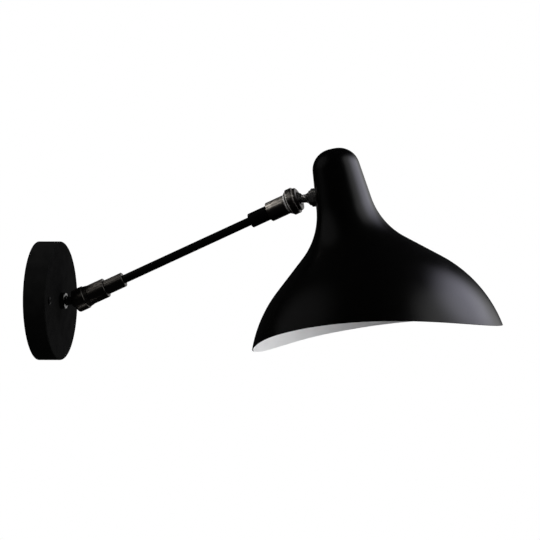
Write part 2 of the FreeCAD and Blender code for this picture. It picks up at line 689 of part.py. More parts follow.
# Wall ball stud: a turned steel ball on a waist, with a collar on the canopy and a hollow threaded tail.
place(
    wall_washer_front="wall_stud_reach + canopy_wall",
    wall_nut_seat="wall_washer_front + washer_wall",
    wall_tail="wall_nut_seat + nut_h + tail_over",
    collar_fillet_r="waist_r + collar_fillet",
    collar_face_r="collar_fillet_r + collar_rim",
    collar_r="collar_face_r + collar_edge",
    collar_front="wall_stud_reach - collar_len",
    collar_fillet_start="collar_front - collar_fillet",
    collar_edge_x="collar_front + collar_edge",
)
kept(turned("wall_ball_stud", "wall_ball", [
    ("-ball_flat", "wire_bore_r"),
    ("neck_start", "waist_r", RIGHT, "ball_r"),
    ("collar_fillet_start", "waist_r"),
    ("collar_front", "collar_fillet_r", LEFT, "collar_fillet"),
    ("collar_front", "collar_face_r"),
    ("collar_edge_x", "collar_r"),
    ("wall_stud_reach", "collar_r"),
    ("wall_stud_reach", "stud_thread_r"),
    ("wall_tail", "stud_thread_r"),
    ("wall_tail", "wire_bore_r"),
]))

# Toothed lock washers and hexagon nuts on the M10 threads.
place(
    notch_half="tooth_notch / 2",
    notch_foot_r="washer_r - tooth_depth",
    notch_top_r="washer_r + tooth_depth",
    nut_corner_r="nut_flats / 2 / cos(30)",
    nut_face_r="nut_corner_r - nut_edge",
    nut_flat_r="nut_flats / 2",
    stud_tapped_r="stud_thread_r + thread_gap",
    nut_sides="6",
)


def toothed_washer(label, frame, front):
    back = label + "_back"
    place(**{back: f"{front} + washer_wall"})
    washer = turned(label, frame, [
        (front, "stud_hole_r"),
        (front, "washer_r"),
        (back, "washer_r"),
        (back, "stud_hole_r"),
    ])
    notch = new_sketch(washer, "YZ_Plane")
    draw(notch, [
        ("-notch_half", "notch_foot_r"),
        ("notch_half", "notch_foot_r"),
        ("notch_half", "notch_top_r"),
        ("-notch_half", "notch_top_r"),
    ])
    repeated_round(washer, cut_through(washer, notch), notch, "washer_teeth")
    return washer


def hex_nut(label, frame, front):
    back = label + "_back"
    front_edge = label + "_front_edge"
    back_edge = label + "_back_edge"
    place(**{
        back: f"{front} + nut_h",
        front_edge: f"{front} + nut_edge / 2",
        back_edge: f"{back} - nut_edge / 2",
    })
    nut = turned(label, frame, [
        (front, "stud_tapped_r"),
        (front, "nut_face_r"),
        (front_edge, "nut_corner_r"),
        (back_edge, "nut_corner_r"),
        (back, "nut_face_r"),
        (back, "stud_tapped_r"),
    ])
    flat = new_sketch(nut, "YZ_Plane")
    draw(flat, [
        ("-nut_flats", "nut_flat_r"),
        ("nut_flats", "nut_flat_r"),
        ("nut_flats", "nut_flats"),
        ("-nut_flats", "nut_flats"),
    ])
    repeated_round(nut, cut_through(nut, flat), flat, "nut_sides")
    return nut


kept(toothed_washer("wall_stud_washer", "wall_ball", "wall_washer_front"))
kept(hex_nut("wall_stud_nut", "wall_ball", "wall_nut_seat"))

# Inside both ball joints, in the frame of the arm's end: a nylon liner round the ball, a cup that a disc
# spring presses on the liner, and the barrel that holds them. A cap screws over the barrel's front.
place(
    liner_in_front="sqrt(liner_in_r^2 - liner_lip^2)",
    liner_out_front="sqrt(liner_out_r^2 - liner_lip^2)",
    liner_in_back="sqrt(liner_in_r^2 - liner_back^2)",
    liner_out_back="sqrt(liner_out_r^2 - liner_back^2)",
    cup_mouth_r="sqrt(seat_r^2 - cup_front^2)",
    cup_floor="sqrt(seat_r^2 - cup_hole_r^2)",
    spring_r="socket_bore_r - spring_room",
    spring_outer_front="spring_front + spring_rise",
    spring_inner_back="spring_front + spring_wall",
    cap_mouth_r="sqrt(seat_r^2 - cap_lip^2)",
    sleeve_hole_r="sleeve_spigot_r + thread_gap",
    tube_bore_r="tube_r - tube_wall",
    tube_seat_r="tube_r + thread_gap",
    barrel_edge_r="barrel_r - turned_edge",
    sleeve_edge_r="sleeve_r - turned_edge",
)


def ball_liner(label, frame):
    return turned(label, frame, [
        ("-liner_lip", "liner_in_front", LEFT, "liner_in_r"),
        ("-liner_lip", "liner_out_front"),
        ("liner_back", "liner_out_back", RIGHT, "liner_out_r"),
        ("liner_back", "liner_in_back"),
    ])


def pressure_cup(label, frame):
    return turned(label, frame, [
        ("cup_front", "cup_mouth_r", LEFT, "seat_r"),
        ("cup_front", "cup_r"),
        ("cup_back", "cup_r"),
        ("cup_back", "cup_hole_r"),
        ("cup_floor", "cup_hole_r"),
    ])


def disc_spring(label, frame):
    return turned(label, frame, [
        ("spring_front", "spring_hole_r"),
        ("spring_outer_front", "spring_r"),
        ("spring_seat", "spring_r"),
        ("spring_inner_back", "spring_hole_r"),
    ])


def socket_barrel(label, frame, cap_end, barrel_end):
    front_edge = label + "_front_edge"
    back_edge = label + "_back_edge"
    sleeve_foot = label + "_sleeve_foot"
    place(**{
        front_edge: f"{cap_end} + turned_edge",
        back_edge: f"{barrel_end} - turned_edge",
        sleeve_foot: f"{barrel_end} - sleeve_spigot_len",
    })
    return turned(label, frame, [
        ("cap_shoulder", "socket_bore_r"),
        ("cap_shoulder", "spigot_r"),
        (cap_end, "spigot_r"),
        (cap_end, "barrel_edge_r"),
        (front_edge, "barrel_r"),
        (back_edge, "barrel_r"),
        (barrel_end, "barrel_edge_r"),
        (barrel_end, "sleeve_hole_r"),
        (sleeve_foot, "sleeve_hole_r"),
        (sleeve_foot, "barrel_bore_r"),
        ("spring_seat", "barrel_bore_r"),
        ("spring_seat", "socket_bore_r"),
    ])


def tube_sleeve(label, frame, barrel_end, sleeve_end, tube_end):
    foot = label + "_foot"
    back_edge = label + "_back_edge"
    place(**{
        foot: f"{barrel_end} - sleeve_spigot_len",
        back_edge: f"{sleeve_end} - turned_edge",
    })
    return turned(label, frame, [
        (foot, "tube_bore_r"),
        (foot, "sleeve_spigot_r"),
        (barrel_end, "sleeve_spigot_r"),
        (barrel_end, "sleeve_r"),
        (back_edge, "sleeve_r"),
        (sleeve_end, "sleeve_edge_r"),
        (sleeve_end, "tube_seat_r"),
        (tube_end, "tube_seat_r"),
        (tube_end, "tube_bore_r"),
    ])


kept(ball_liner("wall_ball_liner", "arm"))
kept(pressure_cup("wall_pressure_cup", "arm"))
kept(disc_spring("wall_disc_spring", "arm"))
kept(socket_barrel("wall_socket_barrel", "arm", "wall_cap_end", "wall_barrel_end"))
kept(tube_sleeve("wall_sleeve", "arm", "wall_barrel_end", "wall_sleeve_end", "wall_tube_end"))

# Wall socket cap: a round-fronted ring that tapers to the barrel. Its inside is part of the ball seat.
place(
    wall_ring_r="cap_bore_r + wall_cap_wall",
    wall_front_r="wall_ring_r - wall_cap_round",
    wall_round_x="wall_cap_round - cap_lip",
    wall_ring_edge_x="wall_ring_end - turned_edge",
    wall_ring_edge_r="wall_ring_r - turned_edge",
    wall_taper_r="wall_ring_edge_r - wall_ring_step",
    wall_taper_end_r="barrel_r + wall_taper_rim",
)
kept(turned("wall_socket_cap", "arm", [
    ("-cap_lip", "cap_mouth_r", LEFT, "seat_r"),
    ("-cap_lip", "wall_front_r"),
    ("wall_round_x", "wall_ring_r", RIGHT, "wall_cap_round"),
    ("wall_ring_edge_x", "wall_ring_r"),
    ("wall_ring_end", "wall_ring_edge_r"),
    ("wall_ring_end", "wall_taper_r"),
    ("wall_cap_end", "wall_taper_end_r"),
    ("wall_cap_end", "cap_bore_r"),
    ("cap_shoulder", "cap_bore_r"),
    ("cap_shoulder", "seat_r"),
    ("0", "seat_r"),
]))

# Arm tube: drawn steel tube, pushed into the two sleeves and fixed there.
place(tube_far="arm_span - shade_tube_end")
kept(turned("arm_tube", "arm", [
    ("wall_tube_end", "tube_bore_r"),
    ("wall_tube_end", "tube_r"),
    ("tube_far", "tube_r"),
    ("tube_far", "tube_bore_r"),
]))

# The shade end of the arm, with the same inside.
kept(tube_sleeve("shade_sleeve", "arm_end", "shade_barrel_end", "shade_sleeve_end", "shade_tube_end"))
kept(socket_barrel("shade_socket_barrel", "arm_end", "lock_washer_end", "shade_barrel_end"))
kept(disc_spring("shade_disc_spring", "arm_end"))
kept(pressure_cup("shade_pressure_cup", "arm_end"))
kept(ball_liner("shade_ball_liner", "arm_end"))

# Shade socket cap: a front ring and a larger grip ring in one turned piece, locked by a ring and a washer.
place(
    front_ring_r="cap_bore_r + front_ring_wall",
    front_ring_face_r="front_ring_r - front_ring_round",
    front_round_x="front_ring_round - cap_lip",
    grip_ring_r="cap_bore_r + grip_ring_wall",
    grip_ring_face_r="grip_ring_r - grip_ring_edge",
    grip_front_x="front_ring_end + grip_ring_edge",
    grip_back_x="shade_cap_end - grip_ring_edge",
)
kept(turned("shade_socket_cap", "arm_end", [
    ("-cap_lip", "cap_mouth_r", LEFT, "seat_r"),
    ("-cap_lip", "front_ring_face_r"),
    ("front_round_x", "front_ring_r", RIGHT, "front_ring_round"),
    ("front_ring_end", "front_ring_r"),
    ("front_ring_end", "grip_ring_face_r"),
    ("grip_front_x", "grip_ring_r"),
    ("grip_back_x", "grip_ring_r"),
    ("shade_cap_end", "grip_ring_face_r"),
    ("shade_cap_end", "cap_bore_r"),
    ("cap_shoulder", "cap_bore_r"),
    ("cap_shoulder", "seat_r"),
    ("0", "seat_r"),
]))


def plain_ring(label, front, back, wall):
    """A ring on the barrel's thread with both outer edges chamfered."""
    ring_r = label + "_r"
    face_r = label + "_face_r"
    front_edge = label + "_front_edge"
    back_edge = label + "_back_edge"
    place(**{
        ring_r: f"cap_bore_r + {wall}",
        face_r: f"{ring_r} - turned_edge",
        front_edge: f"{front} + turned_edge",
        back_edge: f"{back} - turned_edge",
    })
    return turned(label, "arm_end", [
        (front, "cap_bore_r"),
        (front, face_r),
        (front_edge, ring_r),
        (back_edge, ring_r),
        (back, face_r),
        (back, "cap_bore_r"),
    ])


kept(plain_ring("shade_lock_ring", "shade_cap_end", "lock_ring_end", "lock_ring_wall"))
kept(plain_ring("shade_lock_washer", "lock_ring_end", "lock_washer_end", "lock_washer_wall"))

# Shade ball stud: the ball's waist flares to a flange, and the threaded tail goes through the shade's neck.
place(
    flange_back="shade_stud_reach - saddle_len",
    flange_front="flange_back - flange_len",
    flare_start="flange_front - flare_len",
    flare_r="(flare_len^2 + (flange_r - waist_r)^2) / (2 * (flange_r - waist_r))",
)
kept(turned("shade_ball_stud", "shade_ball", [
    ("-ball_flat", "wire_bore_r"),
    ("neck_start", "waist_r", RIGHT, "ball_r"),
    ("flare_start", "waist_r"),
    ("flange_front", "flange_r", LEFT, "flare_r"),
    ("flange_back", "flange_r"),
    ("flange_back", "stud_thread_r"),
    ("shade_tail", "stud_thread_r"),
    ("shade_tail", "wire_bore_r"),
]))

# Shade: spun from one disc of sheet. A small flat and a dome close the top, a slightly conical neck bends
# into a flare, and the flare rounds off to the rim, which is cut to a shallow arch, rounder on the wall side.
place(
    neck_line_r="neck_r - stud_station * tan(neck_taper)",
    dome_r="(neck_line_r - dome_flat_r) / (1 / cos(neck_taper) - tan(neck_taper))",
    dome_end="dome_r - dome_r * sin(neck_taper)",
    dome_end_r="dome_flat_r + dome_r * cos(neck_taper)",
    neck_end_r="neck_line_r + neck_end * tan(neck_taper)",
    flare_top="neck_end + flare_bend_r * (sin(flare_slope) - sin(neck_taper))",
    flare_top_r="neck_end_r + flare_bend_r * (cos(neck_taper) - cos(flare_slope))",
    flare_foot="flare_top + flare_run * cos(flare_slope)",
    flare_foot_r="flare_top_r + flare_run * sin(flare_slope)",
    blank_end="flare_foot + bell_r * (sin(flare_slope) - sin(bell_slope_end))",
    blank_end_r="flare_foot_r + bell_r * (cos(bell_slope_end) - cos(flare_slope))",
    neck_in_s="shade_wall * sin(neck_taper)",
    neck_in_r="shade_wall * cos(neck_taper)",
    flare_in_s="shade_wall * sin(flare_slope)",
    flare_in_r="shade_wall * cos(flare_slope)",
    dome_bend_in="dome_r - shade_wall",
    flare_bend_in="flare_bend_r + shade_wall",
    bell_in="bell_r - shade_wall",
    dome_end_in="dome_end + neck_in_s",
    dome_end_in_r="dome_end_r - neck_in_r",
    neck_end_in="neck_end + neck_in_s",
    neck_end_in_r="neck_end_r - neck_in_r",
    flare_top_in="flare_top + flare_in_s",
    flare_top_in_r="flare_top_r - flare_in_r",
    flare_foot_in="flare_foot + flare_in_s",
    flare_foot_in_r="flare_foot_r - flare_in_r",
    blank_end_in="blank_end + shade_wall * sin(bell_slope_end)",
    blank_end_in_r="blank_end_r - shade_wall * cos(bell_slope_end)",
    arch_reach="blank_end_r + rim_cut_over",
    arch_end="rim_crown + rim_arch_r - sqrt(rim_arch_r^2 - (arch_reach + rim_lean)^2)",
    wall_arch_end="rim_crown + rim_wall_arch_r - sqrt(rim_wall_arch_r^2 - (arch_reach - rim_lean)^2)",
    rim_cut_end="blank_end + rim_cut_over",
    stud_axis_station="stud_station + neck_r * tan(neck_taper)",
    stud_hole_depth="neck_r * 1.5",
)
shade = kept(turned("shade", "shade", [
    ("0", "0"),
    ("0", "dome_flat_r"),
    ("dome_end", "dome_end_r", RIGHT, "dome_r"),
    ("neck_end", "neck_end_r"),
    ("flare_top", "flare_top_r", LEFT, "flare_bend_r"),
    ("flare_foot", "flare_foot_r"),
    ("blank_end", "blank_end_r", RIGHT, "bell_r"),
    ("blank_end_in", "blank_end_in_r"),
    ("flare_foot_in", "flare_foot_in_r", LEFT, "bell_in"),
    ("flare_top_in", "flare_top_in_r"),
    ("neck_end_in", "neck_end_in_r", RIGHT, "flare_bend_in"),
    ("dome_end_in", "dome_end_in_r"),
    ("shade_wall", "dome_flat_r", LEFT, "dome_bend_in"),
    ("shade_wall", "0"),
]))
arch = new_sketch(shade, "XZ_Plane")
draw(arch, [
    ("wall_arch_end", "-arch_reach"),
    ("rim_crown", "-rim_lean", RIGHT, "rim_wall_arch_r"),
    ("arch_end", "arch_reach", RIGHT, "rim_arch_r"),
    ("rim_cut_end", "arch_reach"),
    ("rim_cut_end", "-arch_reach"),
])
cut_through(shade, arch)


def stud_hole(body):
    """Cuts the stud's hole square through the neck, from the shade's axis towards the wall."""
    sketch = new_sketch(body, "XY_Plane")
    sketch.AttachmentOffset = Placement(Vector(), Rotation(Vector(0, 1, 0), 1))
    bind(sketch, ".AttachmentOffset.Base.x", "stud_axis_station")
    bind(sketch, ".AttachmentOffset.Rotation.Angle", "neck_taper")
    draw_circles(sketch, [("0", "0", "stud_hole_r")])
    cut_deep(body, sketch, "stud_hole_depth")


stud_hole(shade)

# Saddle washers on both sides of the neck's wall: flat on the stud's side, hollow or round on the other.
place(
    saddle_blank_end="shade_stud_reach + neck_r / 2",
    strap_front="shade_stud_reach + strap_offset",
    cone_out_top="neck_line_r + thread_gap",
    cone_out_end="neck_end_r + thread_gap",
    cone_in_top="neck_line_r - (shade_wall + thread_gap) / cos(neck_taper)",
    cone_in_end="neck_end_r - (shade_wall + thread_gap) / cos(neck_taper)",
)


def neck_cone(label, top_r, end_r):
    cone = document.addObject("Part::Cone", label)
    cone.Label = label
    seat(cone, "shade_cone")
    bind(cone, "Radius1", top_r)
    bind(cone, "Radius2", end_r)
    bind(cone, "Height", "neck_end")
    return cone


outer_saddle_blank = turned("outer_saddle_blank", "shade_ball", [
    ("flange_back", "stud_hole_r"),
    ("flange_back", "saddle_r"),
    ("saddle_blank_end", "saddle_r"),
    ("saddle_blank_end", "stud_hole_r"),
])
outer_cone = neck_cone("neck_outside", "cone_out_top", "cone_out_end")
kept(combined("Part::Cut", "shade_saddle_washer", outer_saddle_blank, outer_cone))
inner_saddle_blank = turned("inner_saddle_blank", "shade_ball", [
    ("shade_stud_reach", "stud_hole_r"),
    ("shade_stud_reach", "inner_saddle_r"),
    ("strap_front", "inner_saddle_r"),
    ("strap_front", "stud_hole_r"),
])
inner_cone = neck_cone("neck_inside", "cone_in_top", "cone_in_end")
kept(combined("Part::Common", "shade_inner_washer", inner_saddle_blank, inner_cone))

# Lampholder strap: sheet steel, clamped inside the neck by the stud's nut, with a flange across the axis.
# Its leg lies along the neck's wall, so the bend is a little under a right angle.
place(
    strap_under="stud_station - strap_rise",
    strap_top="strap_under - strap_wall",
    strap_low="stud_station + strap_drop",
    strap_out_line="neck_line_r - strap_offset / cos(neck_taper)",
    strap_in_line="neck_line_r - (strap_offset + strap_wall) / cos(neck_taper)",
    strap_low_out="strap_out_line + strap_low * tan(neck_taper)",
    strap_low_in="strap_in_line + strap_low * tan(neck_taper)",
    strap_top_out="strap_out_line + strap_top * tan(neck_taper)",
    strap_top_in="strap_in_line + strap_under * tan(neck_taper)",
    strap_bend_out="strap_bend + strap_wall",
    strap_bend_reach="strap_bend * tan(45 - neck_taper / 2)",
    strap_bend_out_reach="strap_bend_out * tan(45 - neck_taper / 2)",
    strap_out_leg_s="strap_top + strap_bend_out_reach * cos(neck_taper)",
    strap_out_leg_r="strap_top_out + strap_bend_out_reach * sin(neck_taper)",
    strap_out_flange_r="strap_top_out - strap_bend_out_reach",
    strap_in_leg_s="strap_under + strap_bend_reach * cos(neck_taper)",
    strap_in_leg_r="strap_top_in + strap_bend_reach * sin(neck_taper)",
    strap_in_flange_r="strap_top_in - strap_bend_reach",
    strap_width="strap_half * 2",
)
strap = kept(new_body("lampholder_strap", "shade"))
strap_side = new_sketch(strap, "XZ_Plane")
draw(strap_side, [
    ("strap_low", "-strap_low_out"),
    ("strap_out_leg_s", "-strap_out_leg_r"),
    ("strap_top", "-strap_out_flange_r", RIGHT, "strap_bend_out"),
    ("strap_top", "strap_flange"),
    ("strap_under", "strap_flange"),
    ("strap_under", "-strap_in_flange_r"),
    ("strap_in_leg_s", "-strap_in_leg_r", LEFT, "strap_bend"),
    ("strap_low", "-strap_low_in"),
])
padded(strap, strap_side, "strap_width", both_ways=True)
stud_hole(strap)
nipple_hole = new_sketch(strap, "YZ_Plane")
draw_circles(nipple_hole, [("0", "0", "stud_hole_r")])
cut_through(strap, nipple_hole)
place(strap_back="strap_front + strap_wall")
kept(toothed_washer("shade_stud_washer", "shade_ball", "strap_back"))
kept(hex_nut("shade_stud_nut", "shade_ball", "shade_nut_seat"))

# Lampholder: a hollow nipple and its nut hang it under the strap's flange. A cap takes the nipple, the
# body screws into the cap, and the body holds the screw shell and the centre contact.
place(
    nipple_nut_top="strap_top - nut_h",
    nipple_top="nipple_nut_top - tail_over",
    nipple_end="strap_under + nipple_drop",
    holder_cap_end="strap_under + holder_cap_len",
    holder_cap_floor="strap_under + holder_cap_slope",
    holder_in_r="holder_r - holder_wall",
    holder_plug_r="holder_in_r - thread_gap",
    holder_plug_start="holder_cap_end - holder_plug_len",
    holder_floor_s="holder_cap_end + holder_floor",
    holder_end="holder_cap_end + holder_len",
    holder_edge_s="holder_end - turned_edge",
    holder_edge_r="holder_r - turned_edge",
    shell_end="holder_floor_s + shell_len",
    shell_out_r="shell_r + shell_wall",
    shell_seat_r="shell_out_r + thread_gap",
    contact_hole_r="contact_r + hole_gap",
    contact_front="holder_floor_s + contact_head_h",
)
kept(turned("lampholder_nipple", "shade", [
    ("nipple_top", "nipple_bore_r"),
    ("nipple_top", "stud_thread_r"),
    ("nipple_end", "stud_thread_r"),
    ("nipple_end", "nipple_bore_r"),
]))
kept(hex_nut("lampholder_nut", "shade", "nipple_nut_top"))
kept(turned("lampholder_cap", "shade", [
    ("strap_under", "stud_tapped_r"),
    ("strap_under", "holder_cap_top_r"),
    ("holder_cap_floor", "holder_r"),
    ("holder_cap_end", "holder_r"),
    ("holder_cap_end", "holder_in_r"),
    ("holder_cap_floor", "holder_in_r"),
    ("holder_cap_floor", "stud_tapped_r"),
]))
kept(turned("lampholder_body", "shade", [
    ("holder_plug_start", "contact_hole_r"),
    ("holder_plug_start", "holder_plug_r"),
    ("holder_cap_end", "holder_plug_r"),
    ("holder_cap_end", "holder_r"),
    ("holder_edge_s", "holder_r"),
    ("holder_end", "holder_edge_r"),
    ("holder_end", "holder_mouth_r"),
    ("shell_end", "holder_mouth_r"),
    ("shell_end", "shell_seat_r"),
    ("holder_floor_s", "shell_seat_r"),
    ("holder_floor_s", "contact_hole_r"),
]))
kept(turned("lampholder_shell", "shade", [
    ("holder_floor_s", "shell_r"),
    ("holder_floor_s", "shell_out_r"),
    ("shell_end", "shell_out_r"),
    ("shell_end", "shell_r"),
]))
kept(turned("lampholder_contact", "shade", [
    ("holder_plug_start", "0"),
    ("holder_plug_start", "contact_r"),
    ("holder_floor_s", "contact_r"),
    ("holder_floor_s", "contact_head_r"),
    ("contact_front", "contact_head_r"),
    ("contact_front", "0"),
]))

# Bulb: a small globe on a screw cap, with its tip on the centre contact.
place(
    bulb_cap_r="shell_r - shell_gap",
    bulb_tip_foot="contact_front + bulb_tip_h",
    bulb_insulator_foot="bulb_tip_foot + bulb_insulator_h",
    bulb_end="contact_front + bulb_len",
    bulb_mid="bulb_end - bulb_r",
    bulb_turn="bulb_mid - bulb_r * sin(bulb_flare)",
    bulb_turn_r="bulb_r * cos(bulb_flare)",
    bulb_neck="bulb_turn - (bulb_turn_r - bulb_neck_r) / tan(bulb_flare)",
    bulb_skirt="bulb_neck - bulb_skirt_h",
    bulb_in_r="bulb_r - bulb_wall",
    bulb_in_end="bulb_end - bulb_wall",
    bulb_in_turn="bulb_mid - bulb_in_r * sin(bulb_flare)",
    bulb_in_turn_r="bulb_in_r * cos(bulb_flare)",
    bulb_in_neck_r="bulb_neck_r - bulb_wall / cos(bulb_flare)",
)
kept(turned("bulb_cap", "shade", [
    ("contact_front", "0"),
    ("contact_front", "bulb_tip_r"),
    ("bulb_tip_foot", "bulb_tip_r"),
    ("bulb_tip_foot", "bulb_insulator_r"),
    ("bulb_insulator_foot", "bulb_cap_r"),
    ("bulb_skirt", "bulb_cap_r"),
    ("bulb_neck", "bulb_neck_r"),
    ("bulb_neck", "0"),
]))
kept(turned("bulb_glass", "shade", [
    ("bulb_neck", "bulb_in_neck_r"),
    ("bulb_neck", "bulb_neck_r"),
    ("bulb_turn", "bulb_turn_r"),
    ("bulb_end", "0", RIGHT, "bulb_r"),
    ("bulb_in_end", "0"),
    ("bulb_in_turn", "bulb_in_turn_r", LEFT, "bulb_in_r"),
]))

# Every object has to be sound before the pieces are written out.
document.recompute()
for thing in document.Objects:
    if "Invalid" in thing.State or "Error" in thing.State:
        raise RuntimeError(f"{thing.Label} did not rebuild: {thing.State}")
    if thing.isDerivedFrom("Sketcher::SketchObject") and not thing.FullyConstrained:
        raise RuntimeError(f"{thing.Label} is not fully held")
os.makedirs("parts", exist_ok=True)
for piece in pieces:
    if piece.Shape.isNull() or not piece.Shape.isValid():
        raise RuntimeError(f"{piece.Label} is not a sound solid")
    piece.Shape.exportStep(f"parts/{piece.Label}.step")
    print(piece.Label, len(piece.Shape.Solids), round(piece.Shape.Volume, 1))
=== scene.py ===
import math

import bmesh
import bpy
from mathutils import Matrix, Vector


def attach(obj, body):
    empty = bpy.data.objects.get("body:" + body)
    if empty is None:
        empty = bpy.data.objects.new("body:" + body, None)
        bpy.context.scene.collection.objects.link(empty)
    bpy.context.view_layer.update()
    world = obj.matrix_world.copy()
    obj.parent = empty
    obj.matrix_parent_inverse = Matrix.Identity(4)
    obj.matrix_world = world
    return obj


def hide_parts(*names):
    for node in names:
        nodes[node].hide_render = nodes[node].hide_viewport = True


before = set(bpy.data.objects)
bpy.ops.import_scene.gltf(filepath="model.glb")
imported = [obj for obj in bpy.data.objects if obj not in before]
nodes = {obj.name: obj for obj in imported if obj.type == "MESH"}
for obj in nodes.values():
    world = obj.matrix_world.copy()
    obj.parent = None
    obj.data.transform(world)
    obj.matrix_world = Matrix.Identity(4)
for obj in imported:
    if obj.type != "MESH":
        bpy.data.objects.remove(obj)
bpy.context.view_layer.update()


# Wall bracket: a folded steel strip that two screws hold to the wall, bright zinc plated after folding.
# Its ears take the canopy's screws and its tongue carries the terminal block. The same plating is on the
# hidden washers, nuts and screws, and on the strap that holds the lampholder.
def new_finish(name):
    finish = bpy.data.materials.new(name)
    finish.use_nodes = True
    return finish, finish.node_tree, finish.node_tree.nodes["Principled BSDF"]


def add_node(tree, kind, inputs, **settings):
    node = tree.nodes.new(kind)
    for name, setting in settings.items():
        setattr(node, name, setting)
    for socket, given in inputs.items():
        if isinstance(given, bpy.types.NodeSocket):
            tree.links.new(given, node.inputs[socket])
        else:
            node.inputs[socket].default_value = given
    return node


def place_on_piece(tree, turn=(0.0, 0.0, 0.0), start=(0.0, 0.0, 0.0), stretch=(1.0, 1.0, 1.0)):
    coords = add_node(tree, "ShaderNodeTexCoord", {}).outputs["Object"]
    moved = add_node(tree, "ShaderNodeMapping", {"Vector": coords, "Location": [-s for s in start]})
    inputs = {"Vector": moved.outputs[0], "Rotation": turn, "Scale": stretch}
    return add_node(tree, "ShaderNodeMapping", inputs).outputs[0]


def cloudy(tree, vector, size, detail=3.0, roughness=0.5):
    inputs = {"Vector": vector, "Scale": 1.0 / size, "Detail": detail, "Roughness": roughness}
    return add_node(tree, "ShaderNodeTexNoise", inputs).outputs["Fac"]


def between(tree, factor, low, high, start=0.3, end=0.7):
    inputs = {"Value": factor, "From Min": start, "From Max": end, "To Min": low, "To Max": high}
    return add_node(tree, "ShaderNodeMapRange", inputs).outputs["Result"]


def colour(tree, shader, factor, *stops):
    ramp = add_node(tree, "ShaderNodeValToRGB", {"Fac": factor})
    spots = ramp.color_ramp.elements
    while len(spots) < len(stops):
        spots.new(0.5)
    for spot, (position, shade) in zip(spots, stops):
        spot.position = position
        spot.color = (*shade, 1.0)
    tree.links.new(ramp.outputs["Color"], shader.inputs["Base Color"])


def gloss(tree, shader, factor, smooth, rough):
    tree.links.new(between(tree, factor, smooth, rough), shader.inputs["Roughness"])


def relief(tree, shader, height, depth, strength):
    inputs = {"Height": height, "Distance": depth, "Strength": strength}
    tree.links.new(add_node(tree, "ShaderNodeBump", inputs).outputs[0], shader.inputs["Normal"])


def dress(finish, *names):
    for name in names:
        nodes[name].data.materials.clear()
        nodes[name].data.materials.append(finish)


zinc, tree, shader = new_finish("bright_zinc")
vector = place_on_piece(tree)
bluish, plain, straw = (0.50, 0.52, 0.55), (0.63, 0.63, 0.62), (0.66, 0.62, 0.52)
bloom = cloudy(tree, vector, size=0.006, detail=5.0)
colour(tree, shader, bloom, (0.3, bluish), (0.55, plain), (0.75, straw))
shader.inputs["Metallic"].default_value = 0.45
gloss(tree, shader, cloudy(tree, vector, size=0.0025), smooth=0.24, rough=0.42)
drawn = cloudy(tree, place_on_piece(tree, stretch=(1.0, 0.05, 1.0)), size=0.0004)
relief(tree, shader, drawn, depth=0.00002, strength=0.4)
dress(zinc, "wall_bracket", "terminal_screws", "terminal_fixing_screw", "wall_stud_washer", "wall_stud_nut")
dress(zinc, "shade_inner_washer", "lampholder_strap", "shade_stud_washer", "shade_stud_nut")
dress(zinc, "lampholder_nipple", "lampholder_nut")


# Terminal block: one white moulded nylon block screwed to the bracket's tongue. It has the faintly mottled,
# waxy surface of a moulding, with brass clamps inside. The bracket's earth screw is brass too.
nylon, tree, shader = new_finish("white_nylon")
vector = place_on_piece(tree)
mottle = cloudy(tree, vector, size=0.004)
colour(tree, shader, mottle, (0.3, (0.74, 0.74, 0.71)), (0.7, (0.83, 0.83, 0.81)))
gloss(tree, shader, cloudy(tree, vector, size=0.001), smooth=0.38, rough=0.52)
shader.inputs["Subsurface Weight"].default_value = 0.15
shader.inputs["Subsurface Radius"].default_value = (0.0012, 0.0011, 0.0009)
relief(tree, shader, cloudy(tree, vector, size=0.00035), depth=0.00002, strength=0.5)
dress(nylon, "terminal_block")

brass, tree, shader = new_finish("turned_brass")
vector = place_on_piece(tree)
tarnish = cloudy(tree, vector, size=0.003, detail=5.0)
colour(tree, shader, tarnish, (0.3, (0.60, 0.42, 0.19)), (0.7, (0.78, 0.60, 0.31)))
shader.inputs["Metallic"].default_value = 0.75
gloss(tree, shader, cloudy(tree, vector, size=0.0012), smooth=0.18, rough=0.36)
relief(tree, shader, cloudy(tree, vector, size=0.0003), depth=0.00001, strength=0.4)
dress(brass, "terminal_clamps", "earth_screw")


# Canopy: a shallow cup pressed from steel sheet that covers the bracket, powder coated dead matt black.
# The coat is a little uneven and has a fine orange-peel grain.
powder, tree, shader = new_finish("matt_black_powder_coat")
vector = place_on_piece(tree)
mottle = cloudy(tree, vector, size=0.012, detail=4.0)
colour(tree, shader, mottle, (0.3, (0.0042, 0.0042, 0.0042)), (0.7, (0.0062, 0.0062, 0.0061)))
gloss(tree, shader, cloudy(tree, vector, size=0.02), smooth=0.50, rough=0.60)
shader.inputs["Specular IOR Level"].default_value = 0.0
orange_peel = cloudy(tree, vector, size=0.0007, detail=4.0, roughness=0.6)
relief(tree, shader, orange_peel, depth=0.00006, strength=0.5)
dress(powder, "canopy")


# Canopy screws: two small pan-head screws through the canopy's face into the bracket's ears.
# Steel, plated black zinc, which dulls the metal and leaves a slightly cloudy black.
black_zinc, tree, shader = new_finish("black_zinc")
vector = place_on_piece(tree)
mottle = cloudy(tree, vector, size=0.0015)
colour(tree, shader, mottle, (0.35, (0.002, 0.002, 0.002)), (0.75, (0.005, 0.005, 0.005)))
shader.inputs["Metallic"].default_value = 0.7
gloss(tree, shader, cloudy(tree, vector, size=0.0008), smooth=0.40, rough=0.52)
shader.inputs["Specular IOR Level"].default_value = 0.1
relief(tree, shader, cloudy(tree, vector, size=0.0003), depth=0.00001, strength=0.4)
dress(black_zinc, "canopy_screws")


